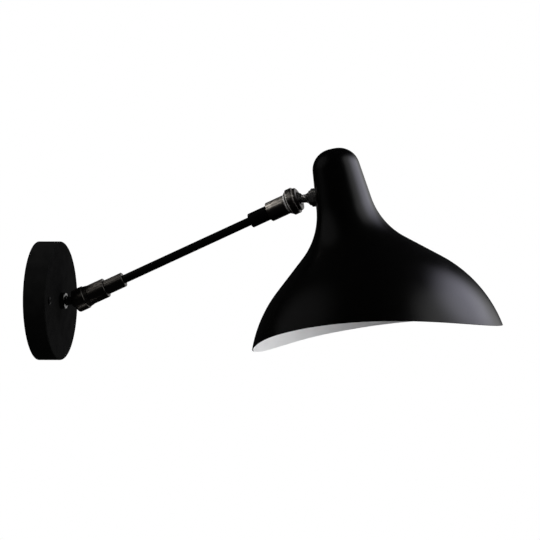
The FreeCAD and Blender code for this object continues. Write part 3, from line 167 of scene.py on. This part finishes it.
# Ball studs: turned in one piece from steel bar, ball, waist and flange, then polished and plated black nickel.
# The plating keeps faint turning rings that run round each stud's own axis. The shade stud's copy is painted paler
# as a painted highlight, and the wall stud's copy is painted darker to keep its highlights small.
ARM_RISE = math.radians(24.0)
STUD_RISE = math.radians(6.2)
WALL_BALL = (0.0403, 0.0, 0.0)
ARM_LENGTH = 0.252
SHADE_BALL = (WALL_BALL[0] + ARM_LENGTH * math.cos(ARM_RISE), 0.0, ARM_LENGTH * math.sin(ARM_RISE))


def turning_rings(tree, rise, start, pitch):
    along = place_on_piece(tree, turn=(0.0, rise, 0.0), start=start, stretch=(1.0, 0.01, 0.01))
    return cloudy(tree, along, pitch, detail=2.0)


def black_nickel(name, rise, centre, metallic, dark, pale):
    finish, tree, shader = new_finish(name)
    mottle = cloudy(tree, place_on_piece(tree), size=0.004)
    colour(tree, shader, mottle, (0.3, dark), (0.7, pale))
    shader.inputs["Metallic"].default_value = metallic
    rings = turning_rings(tree, rise, centre, pitch=0.0007)
    gloss(tree, shader, rings, smooth=0.14, rough=0.18)
    relief(tree, shader, rings, depth=0.000001, strength=0.3)
    return finish


# Two copies of the same plating: the wall stud's is painted dark and the shade stud's pale, to stand in for the
# light on each.
wall_plating_painted_dark = black_nickel(
    "black_nickel_wall_stud_painted_dark", 0.0, WALL_BALL, metallic=1.0, dark=(0.09, 0.09, 0.09), pale=(0.12, 0.12, 0.11),
)
dress(wall_plating_painted_dark, "wall_ball_stud")
shade_plating_painted_pale = black_nickel(
    "black_nickel_shade_stud_painted_pale", STUD_RISE, SHADE_BALL, metallic=0.97,
    dark=(0.44, 0.43, 0.42), pale=(0.52, 0.51, 0.50),
)
dress(shade_plating_painted_pale, "shade_ball_stud", "shade_saddle_washer")


# Inside each ball joint: a liner turned from black acetal and a brass pressure cup, which grip the ball
# between them, and a cupped washer of oiled spring steel that presses them together.
acetal, tree, shader = new_finish("black_acetal")
vector = place_on_piece(tree)
mottle = cloudy(tree, vector, size=0.003)
colour(tree, shader, mottle, (0.3, (0.012, 0.012, 0.012)), (0.7, (0.026, 0.026, 0.027)))
gloss(tree, shader, cloudy(tree, vector, size=0.0008), smooth=0.35, rough=0.50)
relief(tree, shader, turning_rings(tree, ARM_RISE, WALL_BALL, pitch=0.0003), depth=0.000006, strength=0.5)
dress(acetal, "wall_ball_liner", "shade_ball_liner")
dress(brass, "wall_pressure_cup", "shade_pressure_cup")

spring_steel, tree, shader = new_finish("oiled_spring_steel")
vector = place_on_piece(tree)
oil = cloudy(tree, vector, size=0.002)
colour(tree, shader, oil, (0.3, (0.24, 0.22, 0.20)), (0.7, (0.44, 0.43, 0.42)))
shader.inputs["Metallic"].default_value = 1.0
gloss(tree, shader, cloudy(tree, vector, size=0.001), smooth=0.22, rough=0.38)
relief(tree, shader, cloudy(tree, vector, size=0.0003), depth=0.00001, strength=0.4)
dress(spring_steel, "wall_disc_spring", "shade_disc_spring")


# Arm: a straight tube with a turned sleeve, barrel and screwed cap at each end, all chemically blackened.
# The black is thin, so the fine turning rings show. Two edges of the shade end cap are rubbed through to the metal
# and painted pale and half matt, so that they show as bright lines: partly worn metal, partly painted highlight.
# The tube and its shade end sleeve are stove enamelled over the blackening, which dulls them.
BLACKENED = (0.130, 0.123, 0.114)
WORN_METAL_AND_HIGHLIGHT = (0.90, 0.87, 0.83)
# Stations and strengths of the pale lines painted round the cap's edges: worn metal and painted highlight.
EDGE_WEAR_AND_HIGHLIGHTS = ((-0.00765, 1.0), (-0.0006, 0.6))
EDGE_LINE_HALF = 0.0003
EDGE_LINE_FADE = 1.5 * EDGE_LINE_HALF


def fine_turned(tree, shader):
    rings = turning_rings(tree, ARM_RISE, WALL_BALL, pitch=0.0009)
    gloss(tree, shader, rings, smooth=0.30, rough=0.36)
    relief(tree, shader, rings, depth=0.0000015, strength=0.3)


def work_out(tree, operation, *terms):
    return add_node(tree, "ShaderNodeMath", dict(enumerate(terms)), operation=operation).outputs[0]


blackened, tree, shader = new_finish("blackened_turned_metal")
mottle = cloudy(tree, place_on_piece(tree), size=0.008)
colour(tree, shader, mottle, (0.3, BLACKENED), (0.7, (0.175, 0.166, 0.154)))
shader.inputs["Metallic"].default_value = 1.0
fine_turned(tree, shader)
dress(blackened, "wall_socket_cap", "wall_socket_barrel", "wall_sleeve", "shade_socket_barrel")

# Cap finish with pale, half matt lines painted round two edges, which stand in for worn metal and for highlights
# on those edges.
blackened_edge_wear_and_highlight, tree, shader = new_finish("blackened_with_edge_wear_and_highlights")
from_ball = place_on_piece(tree, turn=(0.0, ARM_RISE, 0.0), start=SHADE_BALL)
along = add_node(tree, "ShaderNodeSeparateXYZ", {0: from_ball}).outputs["X"]
worn_edge_and_highlight = 0.0
for station, share in EDGE_WEAR_AND_HIGHLIGHTS:
    off = work_out(tree, "ABSOLUTE", work_out(tree, "SUBTRACT", along, station))
    near = between(tree, off, low=share, high=0.0, start=EDGE_LINE_HALF, end=EDGE_LINE_FADE)
    worn_edge_and_highlight = work_out(tree, "MAXIMUM", near, worn_edge_and_highlight)
thin = between(tree, cloudy(tree, place_on_piece(tree), size=0.008), low=0.0, high=0.05)
colour(tree, shader, work_out(tree, "MAXIMUM", worn_edge_and_highlight, thin), (0.0, BLACKENED), (1.0, WORN_METAL_AND_HIGHLIGHT))
tree.links.new(between(tree, worn_edge_and_highlight, low=1.0, high=0.5, start=0.0, end=1.0), shader.inputs["Metallic"])
fine_turned(tree, shader)
dress(blackened_edge_wear_and_highlight, "shade_socket_cap")

enamel, tree, shader = new_finish("black_stove_enamel")
vector = place_on_piece(tree)
mottle = cloudy(tree, vector, size=0.012)
colour(tree, shader, mottle, (0.3, (0.0010, 0.0010, 0.0010)), (0.7, (0.0018, 0.0018, 0.0017)))
gloss(tree, shader, cloudy(tree, vector, size=0.004), smooth=0.30, rough=0.38)
shader.inputs["Specular IOR Level"].default_value = 0.12
relief(tree, shader, cloudy(tree, vector, size=0.0012), depth=0.000006, strength=0.3)
dress(enamel, "arm_tube", "shade_sleeve")


# Lock ring and its washer: two thin rings on the barrel's thread that lock the shade end cap, turned from bar
# with round edges. The lock ring is blackened like the arm. The washer is nickel plated, and its pale, half matt
# colour is a painted highlight that makes it show as a bright line.
RING_THICK = 0.0018
RING_BORE = 0.00945
LOCK_RING = (0.0080, 0.01200)
LOCK_WASHER = (0.0098, 0.01075)
EDGE_ROWS = 12
RING_STEPS = 72
# Nickel painted pale and half matt, so that the washer shows as a bright line: a painted highlight.
nickel, tree, shader = new_finish("nickel_painted_bright_line")
vector = place_on_piece(tree)
wear = cloudy(tree, vector, size=0.004)
colour(tree, shader, wear, (0.3, (0.74, 0.72, 0.69)), (0.7, (0.88, 0.86, 0.83)))
shader.inputs["Metallic"].default_value = 0.5
gloss(tree, shader, cloudy(tree, vector, size=0.0015), smooth=0.22, rough=0.32)
relief(tree, shader, cloudy(tree, vector, size=0.0006), depth=0.000002, strength=0.3)


def run_straight(bm, vert, out, down, rows):
    for row in range(rows):
        vert = bmesh.ops.extrude_vert_indiv(bm, verts=[vert])["verts"][0]
        vert.co += Vector((out, 0.0, -down)) / rows
    return vert


def run_bend(bm, vert, centre, angle, rows):
    made = bmesh.ops.spin(bm, geom=[vert], cent=centre, axis=(0, 1, 0), angle=angle, steps=rows)
    return made["geom_last"][0]


def spin_round(bm, axis, steps):
    bmesh.ops.spin(
        bm, geom=bm.verts[:] + bm.edges[:], cent=(0, 0, 0), axis=axis, angle=math.tau, steps=steps, use_merge=True,
    )


def make_piece(name, bm, *finishes):
    mesh = bpy.data.meshes.new(name)
    bm.to_mesh(mesh)
    bm.free()
    for finish in finishes:
        mesh.materials.append(finish)
    piece = bpy.data.objects.new(name, mesh)
    bpy.context.scene.collection.objects.link(piece)
    return piece


def bead_ring(name, finish, station, outer_r):
    bm = bmesh.new()
    half = RING_THICK / 2
    tip = run_straight(bm, bm.verts.new((-station, 0.0, RING_BORE)), 0.0, RING_BORE + half - outer_r, 1)
    tip = run_bend(bm, tip, (-station - half, 0.0, outer_r - half), -math.pi, EDGE_ROWS)
    run_straight(bm, tip, 0.0, outer_r - half - RING_BORE, 1)
    spin_round(bm, (1, 0, 0), RING_STEPS)
    bmesh.ops.recalc_face_normals(bm, faces=bm.faces[:])
    lie = Matrix.Translation(SHADE_BALL) @ Matrix.Rotation(-ARM_RISE, 4, "Y")
    bmesh.ops.transform(bm, matrix=lie, verts=bm.verts[:])
    for face in bm.faces:
        face.smooth = True
    ring = make_piece(name, bm, finish)
    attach(ring, "arm")
    return ring


lock_ring = bead_ring("lock_ring_bead", blackened, *LOCK_RING)
lock_washer = bead_ring("lock_washer_bead", nickel, *LOCK_WASHER)
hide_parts("shade_lock_ring")
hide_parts("shade_lock_washer")


# Lampholder: a black phenolic cap and body that hang on a plated nipple under the strap. They are pressed in
# a polished die, so the plastic is glossy with a slight ripple. The screwed shell and contact are brass.
phenolic, tree, shader = new_finish("black_phenolic")
vector = place_on_piece(tree)
mottle = cloudy(tree, vector, size=0.005)
colour(tree, shader, mottle, (0.3, (0.011, 0.010, 0.009)), (0.7, (0.021, 0.019, 0.018)))
gloss(tree, shader, cloudy(tree, vector, size=0.0015), smooth=0.14, rough=0.26)
relief(tree, shader, cloudy(tree, vector, size=0.003), depth=0.00002, strength=0.4)
dress(phenolic, "lampholder_cap", "lampholder_body")
dress(brass, "lampholder_shell", "lampholder_contact")


# Bulb: a small opal glass globe on a screw cap rolled from thin aluminium sheet. The glass is milky all
# through with a smooth fire-polished skin.
rolled_metal, tree, shader = new_finish("rolled_aluminium")
vector = place_on_piece(tree)
mottle = cloudy(tree, vector, size=0.003)
colour(tree, shader, mottle, (0.3, (0.66, 0.66, 0.65)), (0.7, (0.78, 0.78, 0.77)))
shader.inputs["Metallic"].default_value = 0.7
gloss(tree, shader, cloudy(tree, vector, size=0.001), smooth=0.22, rough=0.36)
relief(tree, shader, cloudy(tree, vector, size=0.0004), depth=0.00001, strength=0.4)
dress(rolled_metal, "bulb_cap")

opal, tree, shader = new_finish("opal_glass")
vector = place_on_piece(tree)
milk = cloudy(tree, vector, size=0.015)
colour(tree, shader, milk, (0.3, (0.90, 0.90, 0.87)), (0.7, (0.95, 0.95, 0.93)))
gloss(tree, shader, cloudy(tree, vector, size=0.006), smooth=0.06, rough=0.12)
shader.inputs["Subsurface Weight"].default_value = 0.35
shader.inputs["Subsurface Radius"].default_value = (0.004, 0.004, 0.0035)
dress(opal, "bulb_glass")


# Shade: a bell spun from one aluminium disc over a former, with a domed top, conical neck and flared skirt,
# its rim trimmed to an arch. Satin black paint outside and round the trimmed edge, white paint inside.
SHADE_LEAN = math.radians(12.85)
SHADE_TOP = Vector((0.306848, 0.0, 0.153438))
SHEET = 0.001
FLAT_R = 0.003
DOME_R = 0.021085
NECK_TAPER = math.radians(6.65)
NECK_END = (0.028334, 0.0563)
HOLLOW_R = 0.071
FLARE_SLOPE = math.radians(49.7)
FLARE_RUN = 0.0417
BELL_R = 0.1332
BELL_END_SLOPE = math.radians(4.0)
LOWEST_SLOPE = BELL_END_SLOPE - 0.2
ARCH_R = 0.573
WALL_ARCH_R = 0.1905
ARCH_SHIFT = 0.072
ARCH_CROWN = 0.1752
STUD_STATION = 0.0439
STUD_HOLE_R = 0.0052
BROKEN_EDGE = 0.00022
DOME_ROWS, NECK_ROWS, HOLLOW_ROWS, FLARE_ROWS, BELL_ROWS = 16, 25, 24, 13, 28
MERIDIANS = 160
SAME_PLACE = 1e-6
HALVINGS = 30

bm = bmesh.new()
tip = run_straight(bm, bm.verts.new((0.0, 0.0, 0.0)), FLAT_R, 0.0, 1)
tip = run_bend(bm, tip, (FLAT_R, 0.0, -DOME_R), math.pi / 2 - NECK_TAPER, DOME_ROWS)
tip = run_straight(bm, tip, NECK_END[0] - tip.co.x, NECK_END[1] + tip.co.z, NECK_ROWS)
hollow = tip.co + HOLLOW_R * Vector((math.cos(NECK_TAPER), 0.0, math.sin(NECK_TAPER)))
tip = run_bend(bm, tip, hollow, NECK_TAPER - FLARE_SLOPE, HOLLOW_ROWS)
flare_out, flare_down = FLARE_RUN * math.sin(FLARE_SLOPE), FLARE_RUN * math.cos(FLARE_SLOPE)
tip = run_straight(bm, tip, flare_out, flare_down, FLARE_ROWS)
bell = tip.co - BELL_R * Vector((math.cos(FLARE_SLOPE), 0.0, math.sin(FLARE_SLOPE)))
bell_start = tip.co.z
run_bend(bm, tip, bell, FLARE_SLOPE - BELL_END_SLOPE, BELL_ROWS)
spin_round(bm, (0, 0, 1), MERIDIANS)
bmesh.ops.remove_doubles(bm, verts=bm.verts[:], dist=SAME_PLACE)


def past_the_arch(slope, bearing):
    from_crown = (bell.x + BELL_R * math.cos(slope)) * math.cos(bearing) + ARCH_SHIFT
    down = -bell.z - BELL_R * math.sin(slope)
    arch_r = ARCH_R if from_crown > 0.0 else WALL_ARCH_R
    return down > ARCH_CROWN + arch_r - math.sqrt(arch_r**2 - from_crown**2)


for vert in bm.verts:
    if vert.co.z < bell_start - SAME_PLACE:
        bearing = math.atan2(vert.co.y, vert.co.x)
        low, high = LOWEST_SLOPE, FLARE_SLOPE
        for halving in range(HALVINGS):
            middle = (low + high) / 2
            low, high = (middle, high) if past_the_arch(middle, bearing) else (low, middle)
        slope = math.asin((vert.co.z - bell.z) / BELL_R)
        share = (FLARE_SLOPE - slope) / (FLARE_SLOPE - BELL_END_SLOPE)
        slope = FLARE_SLOPE + share * (high - FLARE_SLOPE)
        out = bell.x + BELL_R * math.cos(slope)
        vert.co = (out * math.cos(bearing), out * math.sin(bearing), bell.z + BELL_R * math.sin(slope))

stud_side = [v for v in bm.verts if v.co.x < 0 and math.hypot(v.co.y, v.co.z + STUD_STATION) < STUD_HOLE_R]
bmesh.ops.delete(bm, geom=stud_side, context="VERTS")
bmesh.ops.recalc_face_normals(bm, faces=bm.faces[:])
stand = Matrix.Translation(SHADE_TOP) @ Matrix.Rotation(-SHADE_LEAN, 4, "Y")
bmesh.ops.transform(bm, matrix=stand, verts=bm.verts[:])
for face in bm.faces:
    face.smooth = True

satin, tree, shader = new_finish("satin_black_paint")
vector = place_on_piece(tree)
mottle = cloudy(tree, vector, size=0.03)
colour(tree, shader, mottle, (0.3, (0.0003, 0.0003, 0.0003)), (0.7, (0.0005, 0.0005, 0.0005)))
gloss(tree, shader, cloudy(tree, vector, size=0.02, detail=4.0), smooth=0.23, rough=0.27)
relief(tree, shader, cloudy(tree, vector, size=0.0011), depth=0.00001, strength=0.3)

white_paint, tree, shader = new_finish("white_inside_paint")
vector = place_on_piece(tree)
mottle = cloudy(tree, vector, size=0.02)
colour(tree, shader, mottle, (0.3, (0.76, 0.76, 0.77)), (0.7, (0.81, 0.81, 0.82)))
gloss(tree, shader, cloudy(tree, vector, size=0.01), smooth=0.42, rough=0.52)
relief(tree, shader, cloudy(tree, vector, size=0.0009), depth=0.00001, strength=0.4)

shade_bell = make_piece("shade_bell", bm, satin, white_paint)
wall = shade_bell.modifiers.new("sheet", "SOLIDIFY")
wall.thickness = SHEET
wall.offset = -1.0
wall.use_quality_normals = True
wall.material_offset = 1
edge = shade_bell.modifiers.new("rubbed_edge", "BEVEL")
edge.width = BROKEN_EDGE
edge.segments = 2
edge.limit_method = "ANGLE"
edge.angle_limit = math.radians(50.0)
edge.harden_normals = True
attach(shade_bell, "shade_head")
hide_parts("shade")


# Floor: a pale round sheet well below the lamp that fades out towards its edge. It takes the lamp's soft shadow
# and shows to the camera only, from above.
FLOOR_MIDDLE = (0.25, 0.0, -0.5)
FLOOR_R = 1.6
FLOOR_SIDES = 96
FADE_START, FADE_END = 0.5, 1.5
bm = bmesh.new()
bmesh.ops.create_circle(bm, cap_ends=True, cap_tris=False, radius=FLOOR_R, segments=FLOOR_SIDES)
bmesh.ops.translate(bm, vec=FLOOR_MIDDLE, verts=bm.verts[:])
pale, tree, shader = new_finish("pale_floor")
vector = place_on_piece(tree, start=FLOOR_MIDDLE)
mottle = cloudy(tree, vector, size=0.4)
colour(tree, shader, mottle, (0.3, (0.80, 0.80, 0.80)), (0.7, (0.82, 0.82, 0.82)))
shader.inputs["Roughness"].default_value = 0.9
reach = add_node(tree, "ShaderNodeVectorMath", {0: vector}, operation="LENGTH").outputs["Value"]
underside = add_node(tree, "ShaderNodeNewGeometry", {}).outputs["Backfacing"]
faded = work_out(tree, "MAXIMUM", between(tree, reach, 0.0, 1.0, FADE_START, FADE_END), underside)
clear = add_node(tree, "ShaderNodeBsdfTransparent", {})
sheet = add_node(tree, "ShaderNodeMixShader", {0: faded, 1: shader.outputs[0], 2: clear.outputs[0]})
tree.links.new(sheet.outputs[0], tree.nodes["Material Output"].inputs["Surface"])
floor = make_piece("floor", bm, pale)
floor.visible_glossy = False
floor.visible_diffuse = False


# Studio: the camera and glass see white, and matt surfaces are lit from the right, above and the wall's side.
# Gloss mirrors a dark room with a glow behind at the right, one in front of that and a weak one at the left.
# A large soft-edged light stands at the right, and small gridded lights pick out the arm's two ends.
VIEW_TURN = math.radians(15.5)
TO_CAMERA = Vector((math.sin(VIEW_TURN), -math.cos(VIEW_TURN), 0.0))
TO_RIGHT = Vector((math.cos(VIEW_TURN), math.sin(VIEW_TURN), 0.0))
UP = Vector((0.0, 0.0, 1.0))


def heading(turn, rise):
    turn, rise = math.radians(turn), math.radians(rise)
    level = math.cos(turn) * TO_CAMERA + math.sin(turn) * TO_RIGHT
    return math.cos(rise) * level + math.sin(rise) * UP


BACKDROP = heading(130.0, -3.0)
FRONT_EDGE = heading(77.0, 32.0)
LEFT_WALL = heading(-92.0, 28.0)
KEY_SIDE = heading(92.0, -14.0)
WALL_SIDE = heading(-95.0, 35.0)
world = bpy.data.worlds.new("studio")
world.use_nodes = True
world.cycles.sampling_method = "NONE"
room = world.node_tree
outward = add_node(room, "ShaderNodeTexCoord", {}).outputs["Generated"]


def glow(towards, bright, inner, outer, dark=0.0):
    facing = add_node(room, "ShaderNodeVectorMath", {0: outward, 1: towards}, operation="DOT_PRODUCT")
    inputs = {
        "Value": facing.outputs["Value"], "To Min": dark, "To Max": bright,
        "From Min": math.cos(math.radians(outer)), "From Max": math.cos(math.radians(inner)),
    }
    return add_node(room, "ShaderNodeMapRange", inputs, interpolation_type="SMOOTHSTEP").outputs["Result"]


def pick(factor, low, high):
    return add_node(room, "ShaderNodeMix", {"Factor": factor, "A": low, "B": high}).outputs["Result"]


mirrored = glow(BACKDROP, bright=0.85, inner=14.0, outer=40.0, dark=0.008)
mirrored = work_out(room, "ADD", mirrored, glow(FRONT_EDGE, bright=0.75, inner=8.0, outer=37.0))
mirrored = work_out(room, "ADD", mirrored, glow(LEFT_WALL, bright=0.09, inner=12.0, outer=36.0))
even = glow(KEY_SIDE, bright=3.4, inner=8.0, outer=46.0, dark=0.01)
even = work_out(room, "ADD", even, glow(UP, bright=1.2, inner=40.0, outer=98.0))
even = work_out(room, "ADD", even, glow(WALL_SIDE, bright=0.9, inner=10.0, outer=55.0))
path = add_node(room, "ShaderNodeLightPath", {}).outputs
lit = pick(path["Is Glossy Ray"], even, mirrored)
seen = work_out(room, "MAXIMUM", path["Is Camera Ray"], path["Is Transmission Ray"])
white = work_out(room, "MAXIMUM", lit, seen)
room.links.new(pick(seen, lit, white), room.nodes["Background"].inputs["Strength"])
room.nodes["Background"].inputs["Color"].default_value = (1.0, 1.0, 1.0, 1.0)
bpy.context.scene.world = world


def soft_edged(light, core):
    light.use_nodes = True
    shine = light.node_tree
    across = add_node(shine, "ShaderNodeNewGeometry", {}).outputs["Parametric"]
    inputs = {0: across, 1: (2.0, 2.0, 0.0), 2: (-1.0, -1.0, 0.0)}
    off = add_node(shine, "ShaderNodeVectorMath", inputs, operation="MULTIPLY_ADD").outputs[0]
    off = add_node(shine, "ShaderNodeVectorMath", {0: off}, operation="LENGTH").outputs["Value"]
    inputs = {"Value": off, "From Min": core, "From Max": 1.0, "To Min": 1.0, "To Max": 0.0}
    faded = add_node(shine, "ShaderNodeMapRange", inputs, interpolation_type="SMOOTHSTEP").outputs["Result"]
    shine.links.new(faded, shine.nodes["Emission"].inputs["Strength"])


def soft_light(name, place, aim, size, radiance, tint, roll=0.0, grid=None, core=None, pieces=None):
    light = bpy.data.lights.new(name, "AREA")
    light.shape = "RECTANGLE"
    light.size, light.size_y = size
    light.energy = radiance * math.pi * size[0] * size[1]
    light.color = tint
    if grid:
        light.spread = 2.0 * grid
        light.energy *= 1.0 - grid / math.tan(grid)
    if core:
        soft_edged(light, core)
    holder = bpy.data.objects.new(name, light)
    holder.location = place
    turn = (aim - place).to_track_quat("-Z", "Y").to_matrix() @ Matrix.Rotation(roll, 3, "Z")
    holder.rotation_euler = turn.to_euler()
    holder.visible_camera = False
    if pieces:
        holder.light_linking.receiver_collection = pieces
    bpy.context.scene.collection.objects.link(holder)


SHADE_MIDDLE = Vector((0.361, 0.0, 0.04))
SOFTBOX_AWAY = 0.6
soft_light(
    "right_softbox", SHADE_MIDDLE + SOFTBOX_AWAY * heading(107.0, 29.0), SHADE_MIDDLE, size=(0.92, 0.74),
    radiance=1.95, tint=(0.96, 0.95, 1.13), roll=math.radians(-18.0), core=0.15,
)

ALONG_ARM = Vector((math.cos(ARM_RISE), 0.0, math.sin(ARM_RISE)))
ARM_FRONT = (TO_CAMERA - TO_CAMERA.dot(ALONG_ARM) * ALONG_ARM).normalized()
ARM_TOP = ARM_FRONT.cross(ALONG_ARM)
SHADE_BARREL = Vector(SHADE_BALL) - 0.025 * ALONG_ARM
SHADE_STUD = Vector(SHADE_BALL) + 0.014 * ALONG_ARM
WALL_BARREL = Vector(WALL_BALL) + 0.03 * ALONG_ARM
WALL_CAP = Vector(WALL_BALL) + 0.004 * ALONG_ARM
SPOT_AWAY = 0.25
CAP_SPOT_AWAY = 0.14
STUD_SPOT_AWAY = 0.12
SPOT_TINT = (1.0, 0.97, 0.93)
SHADE_END_SPOTS = ((27.0, 24.0), (42.0, 36.0), (56.0, 12.0))
WALL_END_SPOTS = ((22.0, 1.4), (36.0, 2.4), (49.0, 2.0), (62.0, 1.0))


def seen_in_arm(turn):
    side = math.cos(math.radians(turn)) * ARM_FRONT + math.sin(math.radians(turn)) * ARM_TOP
    return 2.0 * side.dot(TO_CAMERA) * side - TO_CAMERA


shade_end = bpy.data.collections.new("shade_end_pieces")
for name in ("shade_socket_barrel", "shade_socket_cap", "shade_ball_stud"):
    shade_end.objects.link(nodes[name])
shade_end.objects.link(lock_ring)
shade_end.objects.link(lock_washer)
for number, (turn, radiance) in enumerate(SHADE_END_SPOTS, 1):
    soft_light(
        f"shade_end_spot_{number}", SHADE_BARREL + SPOT_AWAY * seen_in_arm(turn),
        SHADE_BARREL - 0.012 * ALONG_ARM, size=(0.07, 0.025), radiance=radiance, tint=SPOT_TINT,
        grid=math.radians(8.0), pieces=shade_end,
    )
soft_light(
    "shade_stud_spot", SHADE_STUD + STUD_SPOT_AWAY * heading(-90.0, 60.0), SHADE_STUD, size=(0.03, 0.02),
    radiance=10.0, tint=SPOT_TINT, grid=math.radians(8.0),
)
for number, (turn, radiance) in enumerate(WALL_END_SPOTS, 1):
    soft_light(
        f"wall_end_spot_{number}", WALL_BARREL + SPOT_AWAY * seen_in_arm(turn),
        WALL_BARREL - 0.002 * ALONG_ARM, size=(0.06, 0.07), radiance=radiance, tint=SPOT_TINT,
        grid=math.radians(9.0),
    )
soft_light(
    "wall_cap_spot", WALL_CAP + CAP_SPOT_AWAY * seen_in_arm(-34.0), WALL_CAP, size=(0.015, 0.03),
    radiance=4.0, tint=SPOT_TINT, grid=math.radians(6.0),
)


# Camera: a long lens far off, so that nothing narrows with distance, nearly level and a little round towards
# the front of the lamp.
VIEW_RISE = math.radians(0.22)
AIM = Vector((0.2422, 0.0, 0.0313))
STAND_OFF = 22.0
FRAME_WIDTH = 0.5445
camera = bpy.data.cameras.new("camera")
camera.sensor_width = 36.0
camera.lens = camera.sensor_width * STAND_OFF / FRAME_WIDTH
holder = bpy.data.objects.new("camera", camera)
sight = math.cos(VIEW_RISE) * TO_CAMERA + math.sin(VIEW_RISE) * UP
holder.location = AIM + STAND_OFF * sight
holder.rotation_euler = (-sight).to_track_quat("-Z", "Y").to_euler()
bpy.context.scene.collection.objects.link(holder)
bpy.context.scene.camera = holder
bpy.context.scene.view_settings.view_transform = "Standard"
